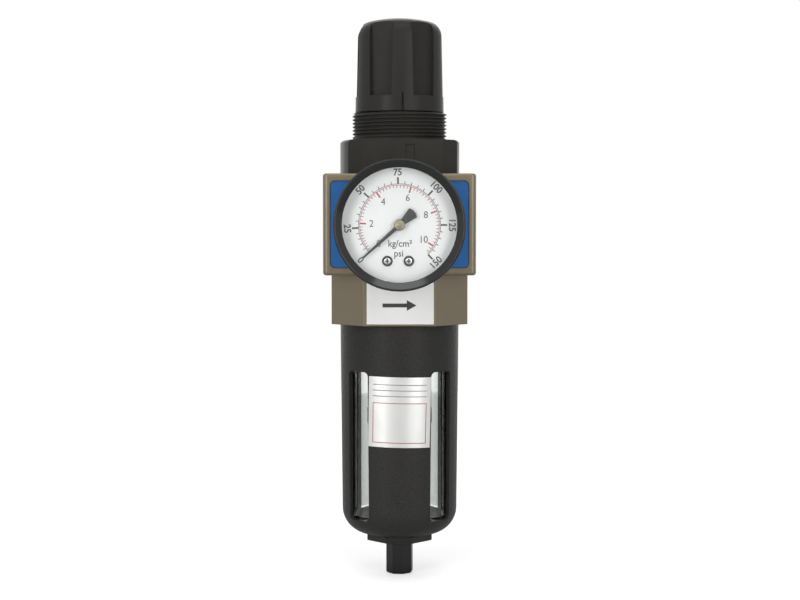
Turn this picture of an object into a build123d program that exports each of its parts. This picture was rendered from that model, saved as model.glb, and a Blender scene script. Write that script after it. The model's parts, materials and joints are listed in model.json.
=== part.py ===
from build123d import *
import os
from math import cos, radians, sin, tan

# Filter regulator for a compressed air line, in millimetres, at its real size.
# Origin: on the main axis at the bonnet's shoulder, where a panel nut seats.
# +Z points up to the adjusting knob, +X to the outlet port, -Y to the gauge.

# Fits
RUNNING = 0.05          # radial play of a shaft in its hole
THREAD_PLAY = 0.1       # radial play of a thread that is drawn as its plain cylinders
PART_GAP = 0.3          # air between pieces that pass each other
SEAT_GAP = 0.1          # air between pieces that nearly bear on each other

# Knob
KNOB_STEP = 1.2         # knob's lower edge inside the neck's crests
KNOB_DRAFT = 0.7        # knob's lower radius less its upper radius
KNOB_HEIGHT = 39.7
KNOB_DOME_RADIUS = 55.0
KNOB_CROWN_RADIUS = 6.4
KNOB_BAND_HEIGHT = 6.5
KNOB_RIBS = 6
KNOB_TURN = 4.0         # degrees that the front rib stands to the right of the front
POCKET_RECESS = 3.4     # pocket's flat floor inside the knob's lower edge
KNOB_WALL = 1.4         # wall behind a pocket's floor
POCKET_BOTTOM_WIDTH = 10.0
POCKET_TOP_WIDTH = 11.0
KNOB_CEILING = 3.3
KNOB_LIFT = 3.0         # pull that unlocks the knob
KNOB_NECK_GAP = 0.5
HUB_RADIUS = 7.5
HUB_WEB = 1.2
HUB_ROOF = 2.0          # solid part of the hub above the screw's hexagon
MARK_WIDTH = 1.4        # pointer notch in the knob's band
MARK_TIP_WIDTH = 0.5
MARK_DEPTH = 1.0

# Bonnet
NECK_RADIUS = 20.0      # M40 x 1.5 panel thread, over its crests
NECK_HEIGHT = 11.6
SKIRT_HEIGHT = 14.2
SKIRT_LEDGE = 2.75      # wrench flats outside the neck's crests
SKIRT_BULGE = 2.45      # crowned sides outside their ends
SKIRT_FLAT_CUT = 6.5    # corner cut, along a flat
SKIRT_SIDE_CUT = 6.05   # corner cut, along a crowned side
SKIRT_TURN = 4.7        # degrees that the bonnet is screwed round
SKIRT_BEVEL = 0.8
GROOVE_WIDTH = 3.75     # shallow upright groove in the front flat
GROOVE_DEPTH = 0.45
GROOVE_TOP = 2.0        # below the shoulder
GROOVE_OFFSET = 2.6     # right of the flat's middle
SPIGOT_STEP = 1.0       # spigot outside the neck's crests
SPIGOT_HEIGHT = 6.6
TOWER_PLAY = 0.4        # tower inside the knob's room
TOWER_WALL = 2.1
TOWER_TOP = 28.0
TOWER_CEILING = 3.0
GUIDE_SLOT_WIDTH = 4.2
GUIDE_SLOT_DEPTH = 1.1
ROLL_ROOM_HEIGHT = 3.2
VENT_RADIUS = 1.0

# Adjusting screw, nut and spring
SCREW_RADIUS = 4.0
SCREW_SHAFT_RADIUS = 5.0
SCREW_COLLAR_RADIUS = 8.5
SCREW_COLLAR_HEIGHT = 2.5
SCREW_HEX = 10.0
SCREW_LENGTH_BELOW = 34.0
SCREW_SHAFT_RISE = 1.5  # round shaft above the tower
THRUST_WASHER_HEIGHT = 0.55
WASHER_PLAY = 0.2
WASHER_STEP = 0.5       # washer outside the collar
NUT_HEIGHT = 3.5
NUT_HUB_RADIUS = 6.8
NUT_HUB_HEIGHT = 7.0
NUT_DROP = 4.5          # nut's top below the bonnet's ceiling with the spring slack
LUG_PLAY = 0.1          # each side of a lug in its slot
SPRING_PLAY = 0.5       # spring inside its room
SPRING_WIRE = 2.6
SPRING_TURNS = 5

# Diaphragm stack
RIM_PLAY = 0.1          # diaphragm inside the body's recess
RIM_WIDTH = 2.6
RIM_HEIGHT = 1.2
WEB_HEIGHT = 0.8
ROLL_RADIUS = 2.2
ROLL_CREST = 1.0
PLATE_HEIGHT = 1.5
PLATE_LIP_HEIGHT = 1.8
PLATE_LIP_PLAY = 0.3    # spring inside the lip
PLATE_LIP_WALL = 1.3
RELIEF_STEP = 1.8       # relief seat inside the plate
RELIEF_HEIGHT = 1.4
RELIEF_BOSS_RADIUS = 3.0
RELIEF_BOSS_HEIGHT = 4.6
RELIEF_HOLE_RADIUS = 0.8
STACK_NUT_HEX = 9.0
STACK_NUT_HEIGHT = 2.2
VALVE_TRAVEL = 1.2
ROLL_FLOOR_GAP = 0.4    # left under the web at full travel
STACK_FLOOR_GAP = 0.8   # left under the relief seat at full travel

# Body casting
BLOCK_WIDTH = 62.8
BLOCK_DEPTH = 62.0
BLOCK_HEIGHT = 41.8
BLOCK_CORNER = 2.0
BLOCK_EDGE = 1.2
COLLAR_WALL = 4.3       # collar's flats outside the bowl's socket
COLLAR_CORNER = 13.7    # corner cut of the collar
COLLAR_HEIGHT = 21.0
FRAME_RIM = 3.0
POCKET_DEPTH = 1.3
POCKET_CORNER = 2.2
PORT_RADIUS = 9.5       # G1/2 thread, drawn as its tapping drill
PORT_LENGTH = 15.0
PORT_FACE_RADIUS = 14.0
PORT_FACE_DEPTH = 0.5
GAUGE_PORT_RADIUS = 5.9  # G1/4 thread, drawn as its tapping drill
GAUGE_PORT_LENGTH = 12.0
GAUGE_TAP_RISE = 2.7    # gauge's drilling above the outlet's floor
CHAMBER_WALL = 2.6
OUTLET_RADIUS = 8.0
OUTLET_HEIGHT = 8.0
CAGE_RADIUS = 9.0
SEAT_WEB = 2.0
BOWL_SOCKET_DEPTH = 15.0
INLET_RING_RADIUS = 13.2
INLET_RING_WIDTH = 5.0
INLET_RING_SWEEP = 60.0  # degrees round the inlet's side
INLET_WAY_RADIUS = 5.7

# Main valve
STEM_RADIUS = 1.5
STEM_TIP_RADIUS = 0.6
STEM_TIP_HEIGHT = 1.0
SEAT_HOLE_RADIUS = 4.0
SEAT_RING_RADIUS = 6.0
SEAT_FLANGE_RADIUS = 8.6
SEAT_FLANGE_HEIGHT = 1.0
SEAT_LIP_HEIGHT = 0.6
SEAT_LIP_WIDTH = 0.4    # width of the lip's flat and of each of its slopes
DISC_RADIUS = 6.2
DISC_HEIGHT = 2.0
HOLDER_RADIUS = 7.0
HOLDER_HEIGHT = 3.2
HOLDER_RIM_DROP = 0.8   # holder's rim below the disc's face
GUIDE_PIN_RADIUS = 2.0
GUIDE_PIN_LENGTH = 12.0
CAGE_BORE_RADIUS = 8.0
CAGE_BORE_LENGTH = 15.0
CAGE_FLOOR = 3.2
CAGE_WAYS = 4
CAGE_WAY_RADIUS = 1.7
VALVE_SPRING_RADIUS = 5.0
VALVE_SPRING_WIRE = 1.0
VALVE_SPRING_TURNS = 4

# Filter
STUD_RADIUS = 2.5
STUD_FLOOR = 1.2        # cage's floor above the stud's end
DEFLECTOR_BORE = 8.5
DEFLECTOR_HUB = 10.4
DEFLECTOR_PLAY = 0.9    # rim inside the bowl's bore
DEFLECTOR_RIM = 1.2
DEFLECTOR_HEIGHT = 12.0
DEFLECTOR_VANES = 10
VANE_HEIGHT = 9.0
VANE_FOOT = 1.0         # vanes' lower edge above the hub's
VANE_THICKNESS = 1.1
VANE_LEAN = 40.0
VANE_ROOT = 0.6         # vane sunk in the hub and in the rim
SEAL_HEIGHT = 0.8
ELEMENT_RADIUS = 12.5
ELEMENT_BORE = 8.5
ELEMENT_HEIGHT = 37.2
BAFFLE_RADIUS = 13.8
BAFFLE_HEIGHT = 7.2
BAFFLE_TOP = 2.2
BAFFLE_WALL = 1.0
BAFFLE_FINS = 4
BAFFLE_FIN_DROP = 5.0
BAFFLE_HUB_RADIUS = 5.0
BAFFLE_BEVEL = 1.0

# Bowl
BOWL_RADIUS = 22.3
BOWL_WALL = 3.0
BOWL_FLANGE_HEIGHT = 2.2
BOWL_CORNER = 8.9
BOWL_FLOOR = 2.5
BOWL_SEAL_HEIGHT = 1.8
BOWL_SEAL_WIDTH = 1.8
BOWL_SEAL_STEP = 1.4    # seal outside the bowl's bore

# Guard
GUARD_PLAY = 0.6        # bowl inside the guard's bore
GUARD_TOP_WALL = 2.4
GUARD_FOOT_WALL = 1.5
GUARD_NECK_WALL = 1.2
GUARD_HEIGHT = 90.2
GUARD_CORNER = 11.0
GUARD_FLOOR = 1.8
WINDOWS = 4
WINDOW_ANGLE = 26.0     # degrees that one window takes of the guard
WINDOW_TOP = 19.5       # below the guard's shoulder
WINDOW_FOOT = 7.6       # above the guard's underside
WINDOW_CORNER = 2.0
GUARD_HOLE_RADIUS = 7.5

# Drain
DRAIN_NUT_FLATS = 27.6
DRAIN_NUT_HEIGHT = 2.8
DRAIN_NUT_BEVEL = 0.4
DRAIN_SHANK_RADIUS = 6.0
DRAIN_HEAD_RADIUS = 8.5
DRAIN_HEAD_HEIGHT = 2.5
DRAIN_GASKET_HEIGHT = 1.0
DRAIN_BORE_RADIUS = 2.6
DRAIN_SPIGOT_RADIUS = 4.0
DRAIN_SPIGOT_HEIGHT = 3.4
DRAIN_KNOB_RADIUS = 5.9  # over the corners
DRAIN_KNOB_HEIGHT = 14.5
DRAIN_KNOB_TURN = -8.0
DRAIN_KNOB_BEVEL = 0.6
DRAIN_OUTLET_RADIUS = 2.2
DRAIN_STEM_RADIUS = 1.6
DRAIN_PLUG_RADIUS = 4.2
DRAIN_PLUG_HEIGHT = 2.0
DRAIN_SEAL_HEIGHT = 0.6

# Gauge
CASE_RADIUS = 25.0
CASE_LENGTH = 22.0
CASE_WALL = 0.9
CASE_STANDOFF = 5.0     # case's back from the block's front
BEZEL_WALL = 1.0
BEZEL_LENGTH = 9.0
BEZEL_LAP = 2.4         # bezel's opening inside the case's wall
BEZEL_LIP = 2.0
BEZEL_BEAD = 0.8        # width of the rounded bead round the bezel's front
LENS_HEIGHT = 2.0
DIAL_DEPTH = 3.0        # dial's face below the lens
DIAL_HEIGHT = 0.6
DIAL_PLAY = 0.2         # dial inside the case
POINTER_HEIGHT = 0.4
POINTER_CLEAR = 1.2     # pointer's back above the dial
POINTER_SHORT = 4.7     # pointer's tip inside the dial's edge
POINTER_WIDTH = 1.7
POINTER_TIP_WIDTH = 0.7
POINTER_TAIL = 7.2
POINTER_TAIL_WIDTH = 4.7
POINTER_TAIL_ROUND = 0.7  # rise of the tail's rounded end
POINTER_ZERO = -132.0   # degrees clockwise from the top
POINTER_HUB_RADIUS = 2.2
POINTER_HUB_HEIGHT = 0.9
SHAFT_RADIUS = 0.75
DIAL_SCREW_RADIUS = 2.0
DIAL_SCREW_HEIGHT = 0.8
DIAL_SCREW_TAPER = 15.0
DIAL_SCREW_X = (-4.8, 3.7)
DIAL_SCREW_Z = -14.2
GAUGE_STEM_SHORT = 1.0  # stem's end before the port's end
GAUGE_SQUARE = 14.0
GAUGE_SQUARE_CORNER = 1.0
SOCKET_WIDTH = 9.0
TUBE_STEP = 7.5         # tube's middle inside the case's wall
TUBE_SINK = 0.5         # tube's middle below the socket's end
TUBE_PLAY = 0.5         # air in front of the tube and behind it
TUBE_WIDTH = 7.0
TUBE_THICKNESS = 2.2
TUBE_SWEEP = 260.0
MOVEMENT_WIDTH = 22.0
MOVEMENT_HEIGHT = 16.0
MOVEMENT_PLATE = 1.2
MOVEMENT_GAP = 2.0      # behind the dial
PILLAR_RADIUS = 1.2
PILLAR_INSET = 2.5

# Plates and plug
PLATE_THICKNESS = 1.0
PLATE_PLAY = 0.2
PLUG_SHORT = 1.5        # plug's end before the port's end
PLUG_FLANGE_RADIUS = 8.0
PLUG_BEVEL = 0.4
PLUG_HEX = 6.0

# Knob, tower, spring and diaphragm follow the neck
KNOB_BOTTOM_RADIUS = NECK_RADIUS - KNOB_STEP
KNOB_TOP_RADIUS = KNOB_BOTTOM_RADIUS - KNOB_DRAFT
KNOB_FLOOR = KNOB_BOTTOM_RADIUS - POCKET_RECESS
KNOB_ROOM_RADIUS = KNOB_FLOOR - KNOB_WALL
TOWER_RADIUS = KNOB_ROOM_RADIUS - TOWER_PLAY
SPRING_ROOM_RADIUS = TOWER_RADIUS - TOWER_WALL
SPRING_RADIUS = SPRING_ROOM_RADIUS - SPRING_PLAY
GUIDE_SLOT_REACH = SPRING_ROOM_RADIUS + GUIDE_SLOT_DEPTH
SKIRT_HALF = NECK_RADIUS + SKIRT_LEDGE
SPIGOT_RADIUS = NECK_RADIUS + SPIGOT_STEP
DIAPHRAGM_RADIUS = SPIGOT_RADIUS - RIM_PLAY
ROLL_ROOM_RADIUS = SPIGOT_RADIUS - RIM_WIDTH
PLATE_RADIUS = SPRING_RADIUS + PLATE_LIP_PLAY + PLATE_LIP_WALL
ROLL_CENTRE = (PLATE_RADIUS + ROLL_ROOM_RADIUS) / 2
RELIEF_RADIUS = PLATE_RADIUS - RELIEF_STEP

# Guard, socket, collar and deflector follow the bowl
BOWL_BORE = BOWL_RADIUS - BOWL_WALL
GUARD_BORE = BOWL_RADIUS + GUARD_PLAY
GUARD_TOP_RADIUS = GUARD_BORE + GUARD_TOP_WALL
GUARD_FOOT_RADIUS = GUARD_BORE + GUARD_FOOT_WALL
GUARD_NECK_RADIUS = GUARD_BORE + GUARD_NECK_WALL
BOWL_FLANGE_RADIUS = GUARD_NECK_RADIUS - THREAD_PLAY
BOWL_SOCKET_RADIUS = GUARD_NECK_RADIUS + THREAD_PLAY
COLLAR_WIDTH = 2 * (BOWL_SOCKET_RADIUS + COLLAR_WALL)
DEFLECTOR_RADIUS = BOWL_BORE - DEFLECTOR_PLAY
WINDOW_HEIGHT = GUARD_HEIGHT - WINDOW_TOP - WINDOW_FOOT
WINDOW_WIDTH = 2 * GUARD_TOP_RADIUS * sin(radians(WINDOW_ANGLE / 2))

# Bezel, dial, pointer and tube follow the gauge's case
BEZEL_RADIUS = CASE_RADIUS + BEZEL_WALL
BEZEL_OPENING = CASE_RADIUS - BEZEL_LAP
DIAL_RADIUS = CASE_RADIUS - CASE_WALL - DIAL_PLAY
POINTER_REACH = DIAL_RADIUS - POINTER_SHORT
TUBE_RADIUS = CASE_RADIUS - TUBE_STEP
SOCKET_DROP = TUBE_RADIUS - TUBE_SINK
SOCKET_LENGTH = TUBE_WIDTH + 2 * TUBE_PLAY

# Heights along the main axis
Z_BLOCK_TOP = -SKIRT_HEIGHT
Z_BLOCK_BOTTOM = Z_BLOCK_TOP - BLOCK_HEIGHT
Z_PORT = (Z_BLOCK_TOP + Z_BLOCK_BOTTOM) / 2
Z_COLLAR_BOTTOM = Z_BLOCK_BOTTOM - COLLAR_HEIGHT
Z_RIM_TOP = Z_BLOCK_TOP - SPIGOT_HEIGHT
Z_LEDGE = Z_RIM_TOP - RIM_HEIGHT
Z_WEB_TOP = Z_LEDGE + WEB_HEIGHT
Z_ROLL_FLOOR = Z_LEDGE - VALVE_TRAVEL - ROLL_FLOOR_GAP
Z_STACK_FLOOR = Z_LEDGE - RELIEF_HEIGHT - VALVE_TRAVEL - STACK_FLOOR_GAP
Z_OUTLET_TOP = Z_STACK_FLOOR - CHAMBER_WALL
Z_OUTLET_FLOOR = Z_OUTLET_TOP - OUTLET_HEIGHT
Z_CAGE_ROOF = Z_OUTLET_FLOOR - SEAT_WEB
Z_SEAT = Z_CAGE_ROOF - SEAT_FLANGE_HEIGHT - SEAT_LIP_HEIGHT
Z_SOCKET_ROOF = Z_COLLAR_BOTTOM + BOWL_SOCKET_DEPTH
Z_CAGE_TOP = Z_CAGE_ROOF - SEAT_FLANGE_HEIGHT
Z_CAGE_FLOOR = Z_CAGE_TOP - CAGE_BORE_LENGTH
Z_PLATE_TOP = Z_WEB_TOP + PLATE_HEIGHT
Z_CEILING = TOWER_TOP - TOWER_CEILING
Z_COLLAR_TOP = Z_CEILING - THRUST_WASHER_HEIGHT - RUNNING
Z_NUT_TOP = Z_CEILING - NUT_DROP
Z_NUT = Z_NUT_TOP - NUT_HEIGHT
Z_KNOB = NECK_HEIGHT + KNOB_NECK_GAP
Z_KNOB_TOP = Z_KNOB + KNOB_HEIGHT
Z_HUB = TOWER_TOP + SCREW_SHAFT_RISE + SEAT_GAP
Z_STUD_FOOT = Z_CAGE_FLOOR - CAGE_FLOOR - STUD_FLOOR
Z_ELEMENT_TOP = Z_SOCKET_ROOF - DEFLECTOR_HEIGHT - SEAL_HEIGHT
Z_ELEMENT_BOTTOM = Z_ELEMENT_TOP - ELEMENT_HEIGHT
Z_BAFFLE_TOP = Z_ELEMENT_BOTTOM - SEAL_HEIGHT
Z_FLANGE_TOP = Z_SOCKET_ROOF - BOWL_SEAL_HEIGHT
Z_FLANGE = Z_FLANGE_TOP - BOWL_FLANGE_HEIGHT
Z_GUARD = Z_COLLAR_BOTTOM - PART_GAP
Z_GUARD_BOTTOM = Z_GUARD - GUARD_HEIGHT
Z_GUARD_FLOOR = Z_GUARD_BOTTOM + GUARD_FLOOR
Z_BOWL_BOTTOM = Z_GUARD_FLOOR + PART_GAP
Z_BOWL_FLOOR = Z_BOWL_BOTTOM + BOWL_FLOOR
Z_DRAIN_HEAD = Z_BOWL_FLOOR + DRAIN_GASKET_HEIGHT
Z_DRAIN_TOP = Z_DRAIN_HEAD + DRAIN_HEAD_HEIGHT
Z_NUT_FACE = Z_GUARD_BOTTOM - SEAT_GAP
Z_NUT_BOTTOM = Z_NUT_FACE - DRAIN_NUT_HEIGHT
Z_SHANK_END = Z_NUT_BOTTOM - 2 * SEAT_GAP
Z_SPIGOT_END = Z_SHANK_END - DRAIN_SPIGOT_HEIGHT
Z_DRAIN_KNOB = Z_SHANK_END - SEAT_GAP

# Distances in front of the main axis
Y_BLOCK = -BLOCK_DEPTH / 2
Y_CASE_BACK = Y_BLOCK - CASE_STANDOFF
Y_CASE_FRONT = Y_CASE_BACK - CASE_LENGTH
Y_LENS_FRONT = Y_CASE_FRONT - LENS_HEIGHT
Y_BEZEL_FRONT = Y_LENS_FRONT - BEZEL_LIP
Y_DIAL_FACE = Y_CASE_FRONT + DIAL_DEPTH
Y_DIAL_BACK = Y_DIAL_FACE + DIAL_HEIGHT
Y_POINTER = Y_DIAL_FACE - POINTER_CLEAR
Y_MOVEMENT = Y_DIAL_BACK + MOVEMENT_GAP
Y_SOCKET = Y_CASE_BACK - CASE_WALL - SOCKET_LENGTH

FRONT = Vector(0, -1, 0)
REAR = Vector(0, 1, 0)
LEFT = Vector(-1, 0, 0)
RIGHT = Vector(1, 0, 0)
UP = Vector(0, 0, 1)

GAUGE_PLANE = Plane.XY.offset(Z_PORT)
GAUGE_AXIS = Axis((0, 0, Z_PORT), (0, 1, 0))


def wall_plane(outward, distance, height=Z_PORT):
    """A plane on a side wall, facing outwards, with its own y pointing up."""
    origin = outward * distance + UP * height
    return Plane(origin=origin, x_dir=UP.cross(outward), z_dir=outward)


def radial_plane(angle, distance, height):
    """A wall plane at an angle round the main axis, counted from the front towards +X."""
    outward = Vector(sin(radians(angle)), -cos(radians(angle)), 0)
    return wall_plane(outward, distance, height)


def outline(*points):
    """A face of the current sketch, closed through the points."""
    Polygon(*points, align=None)


def ring_profile(inner, outer, low, high):
    """The half section of a plain ring about the main or the gauge axis."""
    outline((inner, low), (outer, low), (outer, high), (inner, high))


def bevelled_corner(wall, floor, radius):
    """Points down a wall and onto a floor, in two bevels that clear a round corner of this radius."""
    outer = radius * (1 - tan(radians(15)))
    inner = radius - outer
    return (wall, floor + outer), (wall - inner, floor + inner), (wall - outer, floor)


finished = []


def keep(piece, name):
    """Labels a finished piece and lists it for export."""
    piece.part.label = name
    finished.append(piece.part)


# Adjusting knob: a drafted cup with flat-floored pockets between its grip ribs
POCKET_HEIGHT = KNOB_HEIGHT - KNOB_BAND_HEIGHT
Z_BAND = Z_KNOB + KNOB_BAND_HEIGHT
Z_KNOB_ROOF = Z_KNOB_TOP - KNOB_CEILING

with BuildPart() as adjusting_knob:
    with BuildSketch(Plane.XZ) as knob_profile:
        outline((0, Z_KNOB), (KNOB_BOTTOM_RADIUS, Z_KNOB), (KNOB_TOP_RADIUS, Z_KNOB_TOP), (0, Z_KNOB_TOP))
        with Locations((0, Z_KNOB_TOP - KNOB_DOME_RADIUS)):
            Circle(KNOB_DOME_RADIUS, mode=Mode.INTERSECT)
        fillet(knob_profile.vertices().sort_by(Axis.Y)[-2], KNOB_CROWN_RADIUS)
    revolve(axis=Axis.Z)
    for rib in range(KNOB_RIBS):
        pocket_angle = KNOB_TURN + (rib + 0.5) * 360 / KNOB_RIBS
        with BuildSketch(radial_plane(pocket_angle, KNOB_FLOOR, Z_BAND)):
            outline(
                (-POCKET_BOTTOM_WIDTH / 2, 0),
                (POCKET_BOTTOM_WIDTH / 2, 0),
                (POCKET_TOP_WIDTH / 2, POCKET_HEIGHT + 1),
                (-POCKET_TOP_WIDTH / 2, POCKET_HEIGHT + 1),
            )
        extrude(amount=KNOB_BOTTOM_RADIUS, mode=Mode.SUBTRACT)
    with BuildSketch(Plane.XY.offset(Z_KNOB)):
        Circle(KNOB_ROOM_RADIUS)
    extrude(amount=Z_KNOB_ROOF - Z_KNOB, mode=Mode.SUBTRACT)
    with BuildSketch(Plane.XY.offset(Z_HUB)):
        Circle(HUB_RADIUS)
        with PolarLocations(KNOB_ROOM_RADIUS / 2, KNOB_RIBS, start_angle=KNOB_TURN):
            Rectangle(KNOB_ROOM_RADIUS + 1, HUB_WEB)
    extrude(amount=Z_KNOB_ROOF - Z_HUB)
    with BuildSketch(Plane.XY.offset(Z_HUB)):
        RegularPolygon(SCREW_HEX / 2 + RUNNING, 6, major_radius=False)
    extrude(amount=Z_KNOB_ROOF - Z_HUB - HUB_ROOF, mode=Mode.SUBTRACT)
    with BuildSketch(radial_plane(KNOB_TURN, KNOB_BOTTOM_RADIUS - MARK_DEPTH, Z_KNOB)):
        outline(
            (-MARK_WIDTH / 2, 0),
            (MARK_WIDTH / 2, 0),
            (MARK_TIP_WIDTH / 2, KNOB_BAND_HEIGHT + MARK_DEPTH),
            (-MARK_TIP_WIDTH / 2, KNOB_BAND_HEIGHT + MARK_DEPTH),
        )
    extrude(amount=2 * MARK_DEPTH, mode=Mode.SUBTRACT)
keep(adjusting_knob, "adjusting_knob")

# Adjusting screw: hexagon for the knob, thrust collar, plain stem for the thread
Z_HEX = TOWER_TOP + SCREW_SHAFT_RISE
Z_HEX_TOP = Z_KNOB_ROOF - HUB_ROOF - KNOB_LIFT

with BuildPart() as adjusting_screw:
    with BuildSketch(Plane.XZ):
        outline(
            (0, Z_COLLAR_TOP - SCREW_LENGTH_BELOW),
            (SCREW_RADIUS, Z_COLLAR_TOP - SCREW_LENGTH_BELOW),
            (SCREW_RADIUS, Z_COLLAR_TOP - SCREW_COLLAR_HEIGHT),
            (SCREW_COLLAR_RADIUS, Z_COLLAR_TOP - SCREW_COLLAR_HEIGHT),
            (SCREW_COLLAR_RADIUS, Z_COLLAR_TOP),
            (SCREW_SHAFT_RADIUS, Z_COLLAR_TOP),
            (SCREW_SHAFT_RADIUS, Z_HEX),
            (0, Z_HEX),
        )
    revolve(axis=Axis.Z)
    with BuildSketch(Plane.XY.offset(Z_HEX)):
        RegularPolygon(SCREW_HEX / 2, 6, major_radius=False)
    extrude(amount=Z_HEX_TOP - Z_HEX)
keep(adjusting_screw, "adjusting_screw")

# Thrust washer between the screw's collar and the bonnet's ceiling
with BuildPart() as thrust_washer:
    with BuildSketch(Plane.XZ):
        ring_profile(
            SCREW_SHAFT_RADIUS + WASHER_PLAY,
            SCREW_COLLAR_RADIUS + WASHER_STEP,
            Z_CEILING - THRUST_WASHER_HEIGHT,
            Z_CEILING,
        )
    revolve(axis=Axis.Z)
keep(thrust_washer, "thrust_washer")

# Spring nut: upper seat of the adjusting spring, kept from turning by two lugs
LUG_REACH = GUIDE_SLOT_REACH - LUG_PLAY
LUG_WIDTH = GUIDE_SLOT_WIDTH - 2 * LUG_PLAY

with BuildPart() as spring_nut:
    with BuildSketch(Plane.XY.offset(Z_NUT)):
        Circle(SPRING_ROOM_RADIUS - PART_GAP)
        Rectangle(2 * LUG_REACH, LUG_WIDTH)
    extrude(amount=NUT_HEIGHT)
    with BuildSketch(Plane.XY.offset(Z_NUT - NUT_HUB_HEIGHT)):
        Circle(NUT_HUB_RADIUS)
    extrude(amount=NUT_HUB_HEIGHT)
    with BuildSketch(Plane.XY.offset(Z_NUT - NUT_HUB_HEIGHT)):
        Circle(SCREW_RADIUS + RUNNING)
    extrude(amount=NUT_HUB_HEIGHT + NUT_HEIGHT, mode=Mode.SUBTRACT)
keep(spring_nut, "spring_nut")

# Bonnet: flatted skirt, threaded neck, spring tower inside the knob
with BuildPart() as bonnet:
    with BuildSketch(Plane.XY.offset(Z_BLOCK_TOP).rotated((0, 0, SKIRT_TURN))):
        with BuildLine():
            quarter = Polyline(
                (0, SKIRT_HALF),
                (SKIRT_HALF - SKIRT_FLAT_CUT, SKIRT_HALF),
                (SKIRT_HALF, SKIRT_HALF - SKIRT_SIDE_CUT),
            )
            crown = (SKIRT_HALF + SKIRT_BULGE, 0)
            ThreePointArc(quarter @ 1, crown, (SKIRT_HALF, SKIRT_SIDE_CUT - SKIRT_HALF))
            mirror(quarter, about=Plane.XZ)
            mirror(about=Plane.YZ)
        make_face()
    extrude(amount=SKIRT_HEIGHT)
    crowned_sides = bonnet.faces().sort_by(Axis.Z)[-1].edges().filter_by(GeomType.CIRCLE)
    chamfer(crowned_sides, SKIRT_BEVEL)
    with BuildSketch(Plane.XZ):
        outline(
            (0, Z_RIM_TOP),
            (SPIGOT_RADIUS, Z_RIM_TOP),
            (SPIGOT_RADIUS, Z_BLOCK_TOP),
            (NECK_RADIUS, Z_BLOCK_TOP),
            (NECK_RADIUS, NECK_HEIGHT),
            (TOWER_RADIUS, NECK_HEIGHT),
            (TOWER_RADIUS, TOWER_TOP),
            (0, TOWER_TOP),
        )
    revolve(axis=Axis.Z)
    with BuildSketch(Plane.XZ):
        outline(
            (0, Z_RIM_TOP),
            (ROLL_ROOM_RADIUS, Z_RIM_TOP),
            (ROLL_ROOM_RADIUS, Z_RIM_TOP + ROLL_ROOM_HEIGHT),
            (SPRING_ROOM_RADIUS, Z_RIM_TOP + ROLL_ROOM_HEIGHT),
            (SPRING_ROOM_RADIUS, Z_CEILING),
            (SCREW_SHAFT_RADIUS + RUNNING, Z_CEILING),
            (SCREW_SHAFT_RADIUS + RUNNING, TOWER_TOP),
            (0, TOWER_TOP),
        )
    revolve(axis=Axis.Z, mode=Mode.SUBTRACT)
    with BuildSketch(Plane.XY.offset(NECK_HEIGHT)):
        Rectangle(2 * GUIDE_SLOT_REACH, GUIDE_SLOT_WIDTH)
    extrude(amount=Z_CEILING - NECK_HEIGHT, mode=Mode.SUBTRACT)
    with BuildSketch(Plane.XY.offset(Z_RIM_TOP)):
        Rectangle(2 * GUIDE_SLOT_REACH, GUIDE_SLOT_WIDTH)
    extrude(amount=NECK_HEIGHT - Z_RIM_TOP, mode=Mode.SUBTRACT)
    with BuildSketch(radial_plane(180 + SKIRT_TURN, SKIRT_HALF, -SKIRT_HEIGHT / 2)):
        Circle(VENT_RADIUS)
    extrude(amount=SPRING_RADIUS - SKIRT_HALF, mode=Mode.SUBTRACT)
    with BuildSketch(radial_plane(SKIRT_TURN, SKIRT_HALF, -GROOVE_TOP)):
        with Locations((GROOVE_OFFSET, 0)):
            Rectangle(GROOVE_WIDTH, SKIRT_HEIGHT - GROOVE_TOP, align=(Align.CENTER, Align.MAX))
    extrude(amount=-GROOVE_DEPTH, mode=Mode.SUBTRACT)
keep(bonnet, "bonnet")

# Diaphragm: a rolled rubber disc, clamped at its rim between the bonnet and the body
with BuildPart() as diaphragm:
    with BuildSketch(Plane.XZ):
        outline(
            (RELIEF_BOSS_RADIUS, Z_LEDGE),
            (ROLL_CENTRE - ROLL_RADIUS + WEB_HEIGHT, Z_LEDGE),
            (ROLL_CENTRE - ROLL_CREST / 2, Z_LEDGE + ROLL_RADIUS - WEB_HEIGHT),
            (ROLL_CENTRE + ROLL_CREST / 2, Z_LEDGE + ROLL_RADIUS - WEB_HEIGHT),
            (ROLL_CENTRE + ROLL_RADIUS - WEB_HEIGHT, Z_LEDGE),
            (DIAPHRAGM_RADIUS, Z_LEDGE),
            (DIAPHRAGM_RADIUS, Z_RIM_TOP),
            (ROLL_ROOM_RADIUS, Z_RIM_TOP),
            (ROLL_ROOM_RADIUS, Z_WEB_TOP),
            (ROLL_CENTRE + ROLL_RADIUS, Z_WEB_TOP),
            (ROLL_CENTRE + ROLL_CREST, Z_WEB_TOP + ROLL_RADIUS),
            (ROLL_CENTRE - ROLL_CREST, Z_WEB_TOP + ROLL_RADIUS),
            (ROLL_CENTRE - ROLL_RADIUS, Z_WEB_TOP),
            (RELIEF_BOSS_RADIUS, Z_WEB_TOP),
        )
    revolve(axis=Axis.Z)
keep(diaphragm, "diaphragm")

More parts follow.
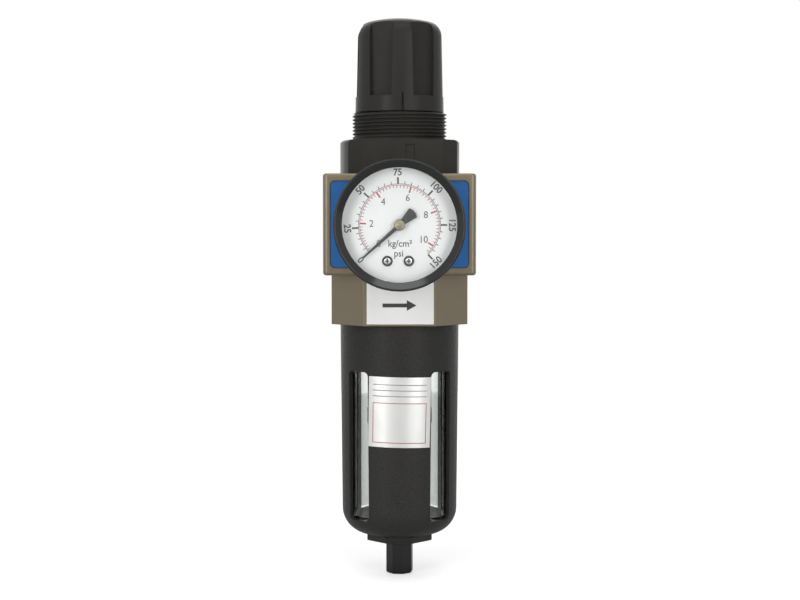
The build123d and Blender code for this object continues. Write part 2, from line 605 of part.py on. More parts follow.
# Diaphragm plate: lower seat of the adjusting spring, with a lip that centres it
with BuildPart() as diaphragm_plate:
    with BuildSketch(Plane.XZ):
        outline(
            (RELIEF_BOSS_RADIUS, Z_WEB_TOP),
            (PLATE_RADIUS, Z_WEB_TOP),
            (PLATE_RADIUS, Z_PLATE_TOP + PLATE_LIP_HEIGHT),
            (SPRING_RADIUS + PLATE_LIP_PLAY, Z_PLATE_TOP + PLATE_LIP_HEIGHT),
            (SPRING_RADIUS + PLATE_LIP_PLAY, Z_PLATE_TOP),
            (RELIEF_BOSS_RADIUS, Z_PLATE_TOP),
        )
    revolve(axis=Axis.Z)
keep(diaphragm_plate, "diaphragm_plate")

# Relief seat: clamps the diaphragm from below and vents it through its bore
with BuildPart() as relief_seat:
    with BuildSketch(Plane.XZ):
        outline(
            (RELIEF_HOLE_RADIUS, Z_LEDGE - RELIEF_HEIGHT),
            (RELIEF_RADIUS, Z_LEDGE - RELIEF_HEIGHT),
            (RELIEF_RADIUS, Z_LEDGE),
            (RELIEF_BOSS_RADIUS, Z_LEDGE),
            (RELIEF_BOSS_RADIUS, Z_LEDGE + RELIEF_BOSS_HEIGHT),
            (RELIEF_HOLE_RADIUS, Z_LEDGE + RELIEF_BOSS_HEIGHT),
        )
    revolve(axis=Axis.Z)
keep(relief_seat, "relief_seat")

# Nut that draws the relief seat and the plate together
with BuildPart() as diaphragm_nut:
    with BuildSketch(Plane.XY.offset(Z_PLATE_TOP)):
        RegularPolygon(STACK_NUT_HEX / 2, 6, major_radius=False)
        Circle(RELIEF_BOSS_RADIUS, mode=Mode.SUBTRACT)
    extrude(amount=STACK_NUT_HEIGHT)
keep(diaphragm_nut, "diaphragm_nut")

# Body casting: frame block, collar, ports, waterways and the bowl's socket
RING_BORE = INLET_RING_RADIUS - INLET_RING_WIDTH / 2

with BuildPart() as body:
    with BuildSketch(Plane.XY.offset(Z_BLOCK_BOTTOM)):
        RectangleRounded(BLOCK_WIDTH, BLOCK_DEPTH, BLOCK_CORNER)
    extrude(amount=BLOCK_HEIGHT)
    block_faces = body.faces().filter_by(Axis.Z)
    fillet(block_faces.edges(), BLOCK_EDGE)
    with BuildSketch(Plane.XY.offset(Z_COLLAR_BOTTOM)) as collar:
        Rectangle(COLLAR_WIDTH, COLLAR_WIDTH)
        chamfer(collar.vertices(), COLLAR_CORNER)
    extrude(amount=COLLAR_HEIGHT + BLOCK_EDGE)
    for outward in (FRONT, REAR):
        with BuildSketch(wall_plane(outward, BLOCK_DEPTH / 2)):
            RectangleRounded(BLOCK_WIDTH - 2 * FRAME_RIM, BLOCK_HEIGHT - 2 * FRAME_RIM, POCKET_CORNER)
        extrude(amount=-POCKET_DEPTH, mode=Mode.SUBTRACT)
        with BuildSketch(wall_plane(outward, BLOCK_DEPTH / 2)):
            Circle(GAUGE_PORT_RADIUS)
        extrude(amount=-GAUGE_PORT_LENGTH, mode=Mode.SUBTRACT)
        with BuildSketch(wall_plane(outward, BLOCK_DEPTH / 2 - GAUGE_PORT_LENGTH)):
            with Locations((0, Z_OUTLET_FLOOR + GAUGE_TAP_RISE - Z_PORT)):
                Circle(STEM_RADIUS)
        extrude(amount=-(BLOCK_DEPTH / 2 - GAUGE_PORT_LENGTH), mode=Mode.SUBTRACT)
    for outward in (LEFT, RIGHT):
        with BuildSketch(wall_plane(outward, BLOCK_WIDTH / 2)):
            Circle(PORT_FACE_RADIUS)
        extrude(amount=-PORT_FACE_DEPTH, mode=Mode.SUBTRACT)
        with BuildSketch(wall_plane(outward, BLOCK_WIDTH / 2)):
            Circle(PORT_RADIUS)
        extrude(amount=-PORT_LENGTH, mode=Mode.SUBTRACT)
    with BuildSketch(Plane.XZ):
        outline(
            (0, Z_BLOCK_TOP),
            (SPIGOT_RADIUS, Z_BLOCK_TOP),
            (SPIGOT_RADIUS, Z_LEDGE),
            (ROLL_ROOM_RADIUS, Z_LEDGE),
            (ROLL_ROOM_RADIUS, Z_ROLL_FLOOR),
            (PLATE_RADIUS, Z_ROLL_FLOOR),
            (PLATE_RADIUS, Z_STACK_FLOOR),
            (STEM_RADIUS + RUNNING, Z_STACK_FLOOR),
            (STEM_RADIUS + RUNNING, Z_OUTLET_TOP),
            (OUTLET_RADIUS, Z_OUTLET_TOP),
            (OUTLET_RADIUS, Z_OUTLET_FLOOR),
            (SEAT_RING_RADIUS, Z_OUTLET_FLOOR),
            (SEAT_RING_RADIUS, Z_CAGE_ROOF),
            (CAGE_RADIUS, Z_CAGE_ROOF),
            (CAGE_RADIUS, Z_SOCKET_ROOF),
            (BOWL_SOCKET_RADIUS, Z_SOCKET_ROOF),
            (BOWL_SOCKET_RADIUS, Z_COLLAR_BOTTOM),
            (0, Z_COLLAR_BOTTOM),
        )
    revolve(axis=Axis.Z, mode=Mode.SUBTRACT)
    with BuildSketch(wall_plane(RIGHT, BLOCK_WIDTH / 2 - PORT_LENGTH, Z_OUTLET_FLOOR + OUTLET_HEIGHT / 2)):
        Circle(OUTLET_HEIGHT / 2)
    extrude(amount=-(BLOCK_WIDTH / 2 - PORT_LENGTH), mode=Mode.SUBTRACT)
    with BuildSketch(wall_plane(LEFT, RING_BORE)):
        Circle(INLET_WAY_RADIUS)
    extrude(amount=BLOCK_WIDTH / 2 - PORT_LENGTH - RING_BORE, mode=Mode.SUBTRACT)
    with BuildSketch(Plane.XY.offset(Z_SOCKET_ROOF)):
        inlet_ring = CenterArc(
            (0, 0), INLET_RING_RADIUS, 180 - INLET_RING_SWEEP / 2, INLET_RING_SWEEP, mode=Mode.PRIVATE
        )
        SlotArc(arc=inlet_ring, height=INLET_RING_WIDTH)
    extrude(amount=Z_PORT - Z_SOCKET_ROOF, mode=Mode.SUBTRACT)
keep(body, "body")

# Face plates in the block's front and rear pockets
PLATE_SIZE = (BLOCK_WIDTH - 2 * FRAME_RIM - 2 * PLATE_PLAY, BLOCK_HEIGHT - 2 * FRAME_RIM - 2 * PLATE_PLAY)
PLATE_HOLE = PLUG_FLANGE_RADIUS + PLATE_PLAY

with BuildPart() as front_plate:
    with BuildSketch(wall_plane(FRONT, BLOCK_DEPTH / 2 - POCKET_DEPTH)):
        RectangleRounded(PLATE_SIZE[0], PLATE_SIZE[1], POCKET_CORNER - PLATE_PLAY)
        Circle(PLATE_HOLE, mode=Mode.SUBTRACT)
    extrude(amount=PLATE_THICKNESS)
keep(front_plate, "front_plate")

with BuildPart() as rear_plate:
    with BuildSketch(wall_plane(REAR, BLOCK_DEPTH / 2 - POCKET_DEPTH)):
        RectangleRounded(PLATE_SIZE[0], PLATE_SIZE[1], POCKET_CORNER - PLATE_PLAY)
        Circle(PLATE_HOLE, mode=Mode.SUBTRACT)
    extrude(amount=PLATE_THICKNESS)
keep(rear_plate, "rear_plate")

# Plug of the spare gauge port in the rear wall
with BuildPart() as rear_plug:
    with BuildSketch(wall_plane(REAR, BLOCK_DEPTH / 2 - POCKET_DEPTH)):
        Circle(GAUGE_PORT_RADIUS)
    extrude(amount=-(GAUGE_PORT_LENGTH - POCKET_DEPTH - PLUG_SHORT))
    with BuildSketch(wall_plane(REAR, BLOCK_DEPTH / 2 - POCKET_DEPTH)):
        Circle(PLUG_FLANGE_RADIUS)
    extrude(amount=POCKET_DEPTH)
    chamfer(rear_plug.faces().sort_by(Axis.Y)[-1].edges(), PLUG_BEVEL)
    with BuildSketch(wall_plane(REAR, BLOCK_DEPTH / 2)):
        RegularPolygon(PLUG_HEX / 2, 6, major_radius=False)
    extrude(amount=-PLUG_HEX, mode=Mode.SUBTRACT)
keep(rear_plug, "rear_plug")

# Valve seat: a ring pressed in from below, with the raised lip that the disc closes on
with BuildPart() as valve_seat:
    with BuildSketch(Plane.XZ):
        outline(
            (SEAT_HOLE_RADIUS, Z_OUTLET_FLOOR),
            (SEAT_RING_RADIUS, Z_OUTLET_FLOOR),
            (SEAT_RING_RADIUS, Z_CAGE_ROOF),
            (SEAT_FLANGE_RADIUS, Z_CAGE_ROOF),
            (SEAT_FLANGE_RADIUS, Z_CAGE_TOP),
            (SEAT_HOLE_RADIUS + 3 * SEAT_LIP_WIDTH, Z_CAGE_TOP),
            (SEAT_HOLE_RADIUS + 2 * SEAT_LIP_WIDTH, Z_SEAT),
            (SEAT_HOLE_RADIUS + SEAT_LIP_WIDTH, Z_SEAT),
            (SEAT_HOLE_RADIUS, Z_CAGE_TOP),
        )
    revolve(axis=Axis.Z)
keep(valve_seat, "valve_seat")

# Rubber disc that closes the seat
with BuildPart() as valve_disc:
    with BuildSketch(Plane.XZ):
        ring_profile(STEM_RADIUS, DISC_RADIUS, Z_SEAT - DISC_HEIGHT, Z_SEAT)
    revolve(axis=Axis.Z)
keep(valve_disc, "valve_disc")

# Main valve: stem up to the relief seat, holder of the disc, guide pin below
Z_STEM_TOP = Z_LEDGE - RELIEF_HEIGHT - RUNNING
Z_HOLDER_RIM = Z_SEAT - HOLDER_RIM_DROP
Z_HOLDER = Z_HOLDER_RIM - HOLDER_HEIGHT

with BuildPart() as main_valve:
    with BuildSketch(Plane.XZ):
        outline(
            (0, Z_HOLDER - GUIDE_PIN_LENGTH),
            (GUIDE_PIN_RADIUS, Z_HOLDER - GUIDE_PIN_LENGTH),
            (GUIDE_PIN_RADIUS, Z_HOLDER),
            (HOLDER_RADIUS, Z_HOLDER),
            (HOLDER_RADIUS, Z_HOLDER_RIM),
            (DISC_RADIUS, Z_HOLDER_RIM),
            (DISC_RADIUS, Z_SEAT - DISC_HEIGHT),
            (STEM_RADIUS, Z_SEAT - DISC_HEIGHT),
            (STEM_RADIUS, Z_STEM_TOP - STEM_TIP_HEIGHT),
            (STEM_TIP_RADIUS, Z_STEM_TOP),
            (0, Z_STEM_TOP),
        )
    revolve(axis=Axis.Z)
keep(main_valve, "main_valve")

# Adjusting spring and valve spring: square wire, both ends ground flat
for spring_name, coil_radius, wire, low, high, turns in (
    ("adjusting_spring", SPRING_RADIUS, SPRING_WIRE, Z_PLATE_TOP, Z_NUT, SPRING_TURNS),
    ("valve_spring", VALVE_SPRING_RADIUS, VALVE_SPRING_WIRE, Z_CAGE_FLOOR, Z_HOLDER, VALVE_SPRING_TURNS),
):
    length = high - low
    with BuildPart() as spring:
        with BuildLine() as centre_line:
            Helix(pitch=length / turns, height=length, radius=coil_radius - wire / 2, center=(0, 0, low))
        with BuildSketch(Plane(origin=centre_line.line @ 0, x_dir=(1, 0, 0), z_dir=centre_line.line % 0)):
            Rectangle(wire, wire)
        sweep(is_frenet=True)
        split(bisect_by=Plane.XY.offset(low), keep=Keep.TOP)
        split(bisect_by=Plane.XY.offset(high), keep=Keep.BOTTOM)
    keep(spring, spring_name)

# Valve cage: holds the seat from below, guides the pin, carries the filter's stud
with BuildPart() as valve_cage:
    with BuildSketch(Plane.XZ):
        outline(
            (0, Z_SOCKET_ROOF),
            (CAGE_RADIUS, Z_SOCKET_ROOF),
            (CAGE_RADIUS, Z_CAGE_TOP),
            (CAGE_BORE_RADIUS, Z_CAGE_TOP),
            (CAGE_BORE_RADIUS, Z_CAGE_FLOOR),
            (GUIDE_PIN_RADIUS + RUNNING, Z_CAGE_FLOOR),
            (GUIDE_PIN_RADIUS + RUNNING, Z_CAGE_FLOOR - CAGE_FLOOR),
            (0, Z_CAGE_FLOOR - CAGE_FLOOR),
        )
    revolve(axis=Axis.Z)
    with BuildSketch(Plane.XY.offset(Z_SOCKET_ROOF)):
        Circle(STUD_RADIUS)
    extrude(amount=Z_STUD_FOOT - Z_SOCKET_ROOF, mode=Mode.SUBTRACT)
    with BuildSketch(Plane.XY.offset(Z_SOCKET_ROOF)):
        with PolarLocations((CAGE_BORE_RADIUS + STUD_RADIUS) / 2, CAGE_WAYS):
            Circle(CAGE_WAY_RADIUS)
    extrude(amount=Z_CAGE_FLOOR - Z_SOCKET_ROOF, mode=Mode.SUBTRACT)
keep(valve_cage, "valve_cage")

# Filter stud
with BuildPart() as filter_stud:
    with BuildSketch(Plane.XY.offset(Z_BAFFLE_TOP - BAFFLE_HEIGHT)):
        Circle(STUD_RADIUS)
    extrude(amount=Z_STUD_FOOT - Z_BAFFLE_TOP + BAFFLE_HEIGHT)
keep(filter_stud, "filter_stud")

# Deflector: leaning vanes between a hub and a rim set the air spinning
VANE_SPAN = DEFLECTOR_RADIUS - DEFLECTOR_RIM - DEFLECTOR_HUB
Z_DEFLECTOR = Z_SOCKET_ROOF - DEFLECTOR_HEIGHT
Z_VANES = Z_DEFLECTOR + VANE_FOOT

with BuildPart() as deflector:
    for vane in range(DEFLECTOR_VANES):
        vane_angle = vane * 360 / DEFLECTOR_VANES
        with BuildSketch(radial_plane(vane_angle, DEFLECTOR_HUB - VANE_ROOT, Z_VANES + VANE_HEIGHT / 2)):
            Rectangle(VANE_THICKNESS, VANE_HEIGHT, rotation=VANE_LEAN)
        extrude(amount=VANE_SPAN + 2 * VANE_ROOT)
    with BuildSketch(Plane.XZ):
        ring_profile(DEFLECTOR_BORE, DEFLECTOR_HUB, Z_DEFLECTOR, Z_SOCKET_ROOF)
        ring_profile(DEFLECTOR_RADIUS - DEFLECTOR_RIM, DEFLECTOR_RADIUS, Z_VANES, Z_VANES + VANE_HEIGHT)
    revolve(axis=Axis.Z)
keep(deflector, "deflector")

# Filter element and the two flat seals at its ends
with BuildPart() as filter_element:
    with BuildSketch(Plane.XY.offset(Z_ELEMENT_BOTTOM)):
        Circle(ELEMENT_RADIUS)
        Circle(ELEMENT_BORE, mode=Mode.SUBTRACT)
    extrude(amount=ELEMENT_HEIGHT)
keep(filter_element, "filter_element")

with BuildPart() as element_seals:
    for seal_bottom, seal_radius in ((Z_ELEMENT_TOP, DEFLECTOR_HUB), (Z_BAFFLE_TOP, ELEMENT_RADIUS)):
        with BuildSketch(Plane.XY.offset(seal_bottom)):
            Circle(seal_radius)
            Circle(ELEMENT_BORE, mode=Mode.SUBTRACT)
        extrude(amount=SEAL_HEIGHT)
keep(element_seals, "element_seals")

# Baffle: umbrella that shields the still water below from the spinning air
Z_BAFFLE = Z_BAFFLE_TOP - BAFFLE_HEIGHT

with BuildPart() as baffle:
    with BuildSketch(Plane.XZ):
        outline(
            (STUD_RADIUS, Z_BAFFLE),
            (BAFFLE_HUB_RADIUS, Z_BAFFLE),
            (BAFFLE_HUB_RADIUS, Z_BAFFLE_TOP - BAFFLE_TOP),
            (BAFFLE_RADIUS - BAFFLE_WALL, Z_BAFFLE_TOP - BAFFLE_TOP),
            (BAFFLE_RADIUS - BAFFLE_WALL, Z_BAFFLE),
            (BAFFLE_RADIUS, Z_BAFFLE),
            (BAFFLE_RADIUS, Z_BAFFLE_TOP - BAFFLE_BEVEL),
            (BAFFLE_RADIUS - BAFFLE_BEVEL, Z_BAFFLE_TOP),
            (STUD_RADIUS, Z_BAFFLE_TOP),
        )
    revolve(axis=Axis.Z)
    with BuildSketch(Plane.XY.offset(Z_BAFFLE - BAFFLE_FIN_DROP)):
        with PolarLocations((BAFFLE_RADIUS - BAFFLE_WALL + BAFFLE_HUB_RADIUS) / 2, BAFFLE_FINS):
            Rectangle(BAFFLE_RADIUS - BAFFLE_HUB_RADIUS, BAFFLE_WALL)
    extrude(amount=BAFFLE_FIN_DROP + BAFFLE_HEIGHT - BAFFLE_TOP)
keep(baffle, "baffle")

# Bowl: clear cup with a flange that hangs on the guard's neck
with BuildPart() as bowl:
    with BuildSketch(Plane.XZ) as bowl_profile:
        outline(
            (DRAIN_SHANK_RADIUS, Z_BOWL_BOTTOM),
            (BOWL_RADIUS, Z_BOWL_BOTTOM),
            (BOWL_RADIUS, Z_FLANGE),
            (BOWL_FLANGE_RADIUS, Z_FLANGE),
            (BOWL_FLANGE_RADIUS, Z_FLANGE_TOP),
            (BOWL_BORE, Z_FLANGE_TOP),
            *bevelled_corner(BOWL_BORE, Z_BOWL_FLOOR, BOWL_CORNER - BOWL_WALL),
            (DRAIN_SHANK_RADIUS, Z_BOWL_FLOOR),
        )
        fillet(bowl_profile.vertices().group_by(Axis.Y)[0].sort_by(Axis.X)[-1], BOWL_CORNER)
    revolve(axis=Axis.Z)
keep(bowl, "bowl")

# Bowl seal, squeezed between the bowl's flange and the socket's roof
SEAL_BORE = BOWL_BORE + BOWL_SEAL_STEP

with BuildPart() as bowl_seal:
    with BuildSketch(Plane.XZ):
        ring_profile(SEAL_BORE, SEAL_BORE + BOWL_SEAL_WIDTH, Z_FLANGE_TOP, Z_SOCKET_ROOF)
    revolve(axis=Axis.Z)
keep(bowl_seal, "bowl_seal")

# Bowl guard: drafted metal cup with a threaded neck and four windows
Z_GUARD_NECK = Z_FLANGE - SEAT_GAP

with BuildPart() as bowl_guard:
    with BuildSketch(Plane.XZ):
        outline(
            (0, Z_GUARD_BOTTOM),
            (GUARD_FOOT_RADIUS, Z_GUARD_BOTTOM),
            (GUARD_TOP_RADIUS, Z_GUARD),
            (GUARD_NECK_RADIUS, Z_GUARD),
            (GUARD_NECK_RADIUS, Z_GUARD_NECK),
            (0, Z_GUARD_NECK),
        )
    revolve(axis=Axis.Z)
    guard_foot = bowl_guard.edges().filter_by(GeomType.CIRCLE).sort_by(Axis.Z)[0]
    fillet(guard_foot, GUARD_CORNER)
    with BuildSketch(Plane.XZ):
        outline(
            (0, Z_FLANGE),
            (GUARD_BORE, Z_FLANGE),
            *bevelled_corner(GUARD_BORE, Z_GUARD_FLOOR, GUARD_CORNER - GUARD_FLOOR),
            (0, Z_GUARD_FLOOR),
        )
    revolve(axis=Axis.Z, mode=Mode.SUBTRACT)
    for window in range(WINDOWS):
        window_angle = (window + 0.5) * 360 / WINDOWS
        with BuildSketch(radial_plane(window_angle, BOWL_BORE, Z_GUARD - WINDOW_TOP - WINDOW_HEIGHT / 2)):
            RectangleRounded(WINDOW_WIDTH, WINDOW_HEIGHT, WINDOW_CORNER)
        extrude(amount=GUARD_TOP_RADIUS, mode=Mode.SUBTRACT)
    with BuildSketch(Plane.XY.offset(Z_GUARD_BOTTOM)):
        Circle(GUARD_HOLE_RADIUS)
    extrude(amount=2 * GUARD_FLOOR, mode=Mode.SUBTRACT)
keep(bowl_guard, "bowl_guard")

# Drain body: passes through the bowl's floor and carries the drain nut
with BuildPart() as drain_body:
    with BuildSketch(Plane.XZ):
        outline(
            (DRAIN_BORE_RADIUS, Z_SPIGOT_END),
            (DRAIN_SPIGOT_RADIUS, Z_SPIGOT_END),
            (DRAIN_SPIGOT_RADIUS, Z_SHANK_END),
            (DRAIN_SHANK_RADIUS, Z_SHANK_END),
            (DRAIN_SHANK_RADIUS, Z_DRAIN_HEAD),
            (DRAIN_HEAD_RADIUS, Z_DRAIN_HEAD),
            (DRAIN_HEAD_RADIUS, Z_DRAIN_TOP),
            (DRAIN_BORE_RADIUS, Z_DRAIN_TOP),
        )
    revolve(axis=Axis.Z)
keep(drain_body, "drain_body")

with BuildPart() as drain_gasket:
    with BuildSketch(Plane.XZ):
        ring_profile(DRAIN_SHANK_RADIUS, DRAIN_HEAD_RADIUS, Z_BOWL_FLOOR, Z_DRAIN_HEAD)
    revolve(axis=Axis.Z)
keep(drain_gasket, "drain_gasket")

# Drain nut: eight-sided, one flat to the front
with BuildPart() as drain_nut:
    with BuildSketch(Plane.XY.offset(Z_NUT_BOTTOM).rotated((0, 0, 22.5))):
        RegularPolygon(DRAIN_NUT_FLATS / 2, 8, major_radius=False)
        Circle(DRAIN_SHANK_RADIUS, mode=Mode.SUBTRACT)
    extrude(amount=DRAIN_NUT_HEIGHT)
    chamfer(drain_nut.faces().sort_by(Axis.Z)[0].outer_wire().edges(), DRAIN_NUT_BEVEL)
keep(drain_nut, "drain_nut")

# Drain plug: lifts off the drain body's bore when the knob is turned
Z_PLUG = Z_DRAIN_TOP + DRAIN_SEAL_HEIGHT

with BuildPart() as drain_plug:
    with BuildSketch(Plane.XZ):
        outline(
            (0, Z_SPIGOT_END),
            (DRAIN_STEM_RADIUS, Z_SPIGOT_END),
            (DRAIN_STEM_RADIUS, Z_PLUG),
            (DRAIN_PLUG_RADIUS, Z_PLUG),
            (DRAIN_PLUG_RADIUS, Z_PLUG + DRAIN_PLUG_HEIGHT),
            (0, Z_PLUG + DRAIN_PLUG_HEIGHT),
        )
    revolve(axis=Axis.Z)
keep(drain_plug, "drain_plug")

with BuildPart() as drain_seal:
    with BuildSketch(Plane.XZ):
        ring_profile(DRAIN_BORE_RADIUS, DRAIN_PLUG_RADIUS, Z_DRAIN_TOP, Z_PLUG)
    revolve(axis=Axis.Z)
keep(drain_seal, "drain_seal")

# Drain knob: eight-sided nipple that turns on the drain body's spigot
Z_KNOB_END = Z_DRAIN_KNOB - DRAIN_KNOB_HEIGHT

with BuildPart() as drain_knob:
    with BuildSketch(Plane.XY.offset(Z_KNOB_END).rotated((0, 0, 22.5 + DRAIN_KNOB_TURN))):
        RegularPolygon(DRAIN_KNOB_RADIUS, 8)
    extrude(amount=DRAIN_KNOB_HEIGHT)
    chamfer(drain_knob.faces().sort_by(Axis.Z)[0].edges(), DRAIN_KNOB_BEVEL)
    with BuildSketch(Plane.XY.offset(Z_DRAIN_KNOB)):
        Circle(DRAIN_SPIGOT_RADIUS + RUNNING)
    extrude(amount=-(Z_DRAIN_KNOB - Z_SPIGOT_END + PART_GAP), mode=Mode.SUBTRACT)
    with BuildSketch(Plane.XY.offset(Z_DRAIN_KNOB)):
        Circle(DRAIN_OUTLET_RADIUS)
    extrude(amount=-DRAIN_KNOB_HEIGHT, mode=Mode.SUBTRACT)
keep(drain_knob, "drain_knob")

# Gauge stem: thread in the front port, wrench square, pressure block inside the case
STEM_END = BLOCK_DEPTH / 2 - GAUGE_PORT_LENGTH + GAUGE_STEM_SHORT
SOCKET_BACK = -Y_CASE_BACK + CASE_WALL

with BuildPart() as gauge_stem:
    with BuildSketch(wall_plane(FRONT, STEM_END)):
        Circle(GAUGE_PORT_RADIUS)
    extrude(amount=SOCKET_BACK - STEM_END)
    with BuildSketch(wall_plane(FRONT, BLOCK_DEPTH / 2 + PART_GAP)):
        RectangleRounded(GAUGE_SQUARE, GAUGE_SQUARE, GAUGE_SQUARE_CORNER)
    extrude(amount=CASE_STANDOFF - PART_GAP)
    with BuildSketch(wall_plane(FRONT, SOCKET_BACK)):
        with Locations((0, -SOCKET_DROP)):
            Rectangle(SOCKET_WIDTH, SOCKET_DROP + SOCKET_WIDTH / 2, align=(Align.CENTER, Align.MIN))
    extrude(amount=SOCKET_LENGTH)
    with BuildSketch(wall_plane(FRONT, STEM_END)):
        Circle(STEM_RADIUS)
    extrude(amount=SOCKET_BACK - STEM_END + SOCKET_LENGTH / 2, mode=Mode.SUBTRACT)
keep(gauge_stem, "gauge_stem")

# Gauge case: round steel cup
with BuildPart() as gauge_case:
    with BuildSketch(GAUGE_PLANE):
        outline(
            (GAUGE_PORT_RADIUS, Y_CASE_BACK),
            (CASE_RADIUS, Y_CASE_BACK),
            (CASE_RADIUS, Y_CASE_FRONT),
            (CASE_RADIUS - CASE_WALL, Y_CASE_FRONT),
            (CASE_RADIUS - CASE_WALL, Y_CASE_BACK - CASE_WALL),
            (GAUGE_PORT_RADIUS, Y_CASE_BACK - CASE_WALL),
        )
    revolve(axis=GAUGE_AXIS)
    back_rim = gauge_case.edges().filter_by(GeomType.CIRCLE).group_by(Axis.Y)[-1].sort_by(SortBy.RADIUS)[-1]
    chamfer(back_rim, CASE_WALL / 2)
keep(gauge_case, "gauge_case")

# Bezel: rolled ring that holds the lens on the case's rim
with BuildPart() as gauge_bezel:
    with BuildSketch(GAUGE_PLANE):
        outline(
            (CASE_RADIUS, Y_BEZEL_FRONT + BEZEL_LENGTH),
            (BEZEL_RADIUS, Y_BEZEL_FRONT + BEZEL_LENGTH),
            (BEZEL_RADIUS, Y_BEZEL_FRONT),
            (BEZEL_RADIUS - BEZEL_BEAD, Y_BEZEL_FRONT),
            (BEZEL_OPENING, Y_LENS_FRONT),
            (CASE_RADIUS, Y_LENS_FRONT),
        )
    revolve(axis=GAUGE_AXIS)
    bead_edges = gauge_bezel.edges().filter_by(GeomType.CIRCLE).group_by(Axis.Y)[0]
    chamfer(bead_edges.sort_by(SortBy.RADIUS)[-1], BEZEL_BEAD / 2)
keep(gauge_bezel, "gauge_bezel")

# Lens
with BuildPart() as gauge_lens:
    with BuildSketch(wall_plane(FRONT, -Y_CASE_FRONT)):
        Circle(CASE_RADIUS - RUNNING)
    extrude(amount=LENS_HEIGHT)
keep(gauge_lens, "gauge_lens")

# Dial plate
with BuildPart() as gauge_dial:
    with BuildSketch(wall_plane(FRONT, -Y_DIAL_BACK)):
        Circle(DIAL_RADIUS)
        Circle(SHAFT_RADIUS + PART_GAP, mode=Mode.SUBTRACT)
        with Locations(*[(x, DIAL_SCREW_Z) for x in DIAL_SCREW_X]):
            Circle(DIAL_SCREW_RADIUS / 2, mode=Mode.SUBTRACT)
    extrude(amount=DIAL_HEIGHT)
keep(gauge_dial, "gauge_dial")

# Two cross-head screws that hold the dial to the socket
with BuildPart() as dial_screws:
    with BuildSketch(wall_plane(FRONT, -Y_DIAL_FACE)):
        with Locations(*[(x, DIAL_SCREW_Z) for x in DIAL_SCREW_X]):
            Circle(DIAL_SCREW_RADIUS)
    extrude(amount=DIAL_SCREW_HEIGHT, taper=DIAL_SCREW_TAPER)
    with BuildSketch(wall_plane(FRONT, -Y_DIAL_FACE)):
        with Locations(*[(x, DIAL_SCREW_Z) for x in DIAL_SCREW_X]):
            Circle(DIAL_SCREW_RADIUS / 2)
    extrude(amount=-(Y_SOCKET - Y_DIAL_FACE))
keep(dial_screws, "dial_screws")

# Pointer: tapered needle with a flared tail, resting at the scale's zero
with BuildPart() as pointer:
    with BuildSketch(wall_plane(FRONT, -Y_POINTER).rotated((0, POINTER_ZERO, 0))):
        with BuildLine():
            flanks = Polyline(
                (-POINTER_TAIL_WIDTH / 2, -POINTER_TAIL),
                (-POINTER_WIDTH / 2, 0),
                (-POINTER_TIP_WIDTH / 2, POINTER_REACH),
                (POINTER_TIP_WIDTH / 2, POINTER_REACH),
                (POINTER_WIDTH / 2, 0),
                (POINTER_TAIL_WIDTH / 2, -POINTER_TAIL),
            )
            ThreePointArc(flanks @ 1, (0, -POINTER_TAIL - POINTER_TAIL_ROUND), flanks @ 0)
        make_face()
    extrude(amount=POINTER_HEIGHT)
    with BuildSketch(wall_plane(FRONT, -Y_POINTER)):
        Circle(POINTER_HUB_RADIUS)
    extrude(amount=POINTER_HUB_HEIGHT)
    with BuildSketch(wall_plane(FRONT, -Y_POINTER)):
        Circle(SHAFT_RADIUS)
    extrude(amount=POINTER_HUB_HEIGHT, mode=Mode.SUBTRACT)
keep(pointer, "pointer")

with BuildPart() as pointer_shaft:
    with BuildSketch(wall_plane(FRONT, -Y_POINTER + POINTER_HUB_HEIGHT)):
        Circle(SHAFT_RADIUS)
    extrude(amount=Y_POINTER - POINTER_HUB_HEIGHT - Y_SOCKET + PART_GAP)
keep(pointer_shaft, "pointer_shaft")

# Bourdon tube: flattened tube bent round the case, closed at its tip and brazed into the stem's block
TUBE_EDGE = TUBE_WIDTH / 2 - TUBE_THICKNESS / 2
TUBE_SECTION = (
    (0, -TUBE_WIDTH / 2),
    (TUBE_THICKNESS / 2, -TUBE_EDGE),
    (TUBE_THICKNESS / 2, TUBE_EDGE),
    (0, TUBE_WIDTH / 2),
    (-TUBE_THICKNESS / 2, TUBE_EDGE),
    (-TUBE_THICKNESS / 2, -TUBE_EDGE),
)

with BuildPart() as bourdon_tube:
    with BuildSketch(GAUGE_PLANE):
        with Locations((TUBE_RADIUS, Y_SOCKET + SOCKET_LENGTH / 2)):
            Polygon(*TUBE_SECTION, align=None)
    revolve(axis=GAUGE_AXIS, revolution_arc=-TUBE_SWEEP)
keep(bourdon_tube, "bourdon_tube")

# Movement plates with their pillars and the shaft's bush
with BuildPart() as gauge_movement:
    for plate_back in (Y_MOVEMENT + MOVEMENT_PLATE, Y_SOCKET):
        with BuildSketch(wall_plane(FRONT, -plate_back)):
            Rectangle(MOVEMENT_WIDTH, MOVEMENT_HEIGHT)
            Circle(SHAFT_RADIUS + RUNNING, mode=Mode.SUBTRACT)
        extrude(amount=MOVEMENT_PLATE)
    with BuildSketch(wall_plane(FRONT, -Y_SOCKET)):
        with GridLocations(MOVEMENT_WIDTH - 2 * PILLAR_INSET, MOVEMENT_HEIGHT - 2 * PILLAR_INSET, 2, 2):
            Circle(PILLAR_RADIUS)
    extrude(amount=Y_SOCKET - Y_MOVEMENT - MOVEMENT_PLATE)
keep(gauge_movement, "gauge_movement")

os.makedirs("parts", exist_ok=True)
for piece in finished:
    export_step(piece, f"parts/{piece.label}.step")
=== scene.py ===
import json
from math import cos, pi, radians, sin

import bmesh
import bpy
from mathutils import Matrix, Vector

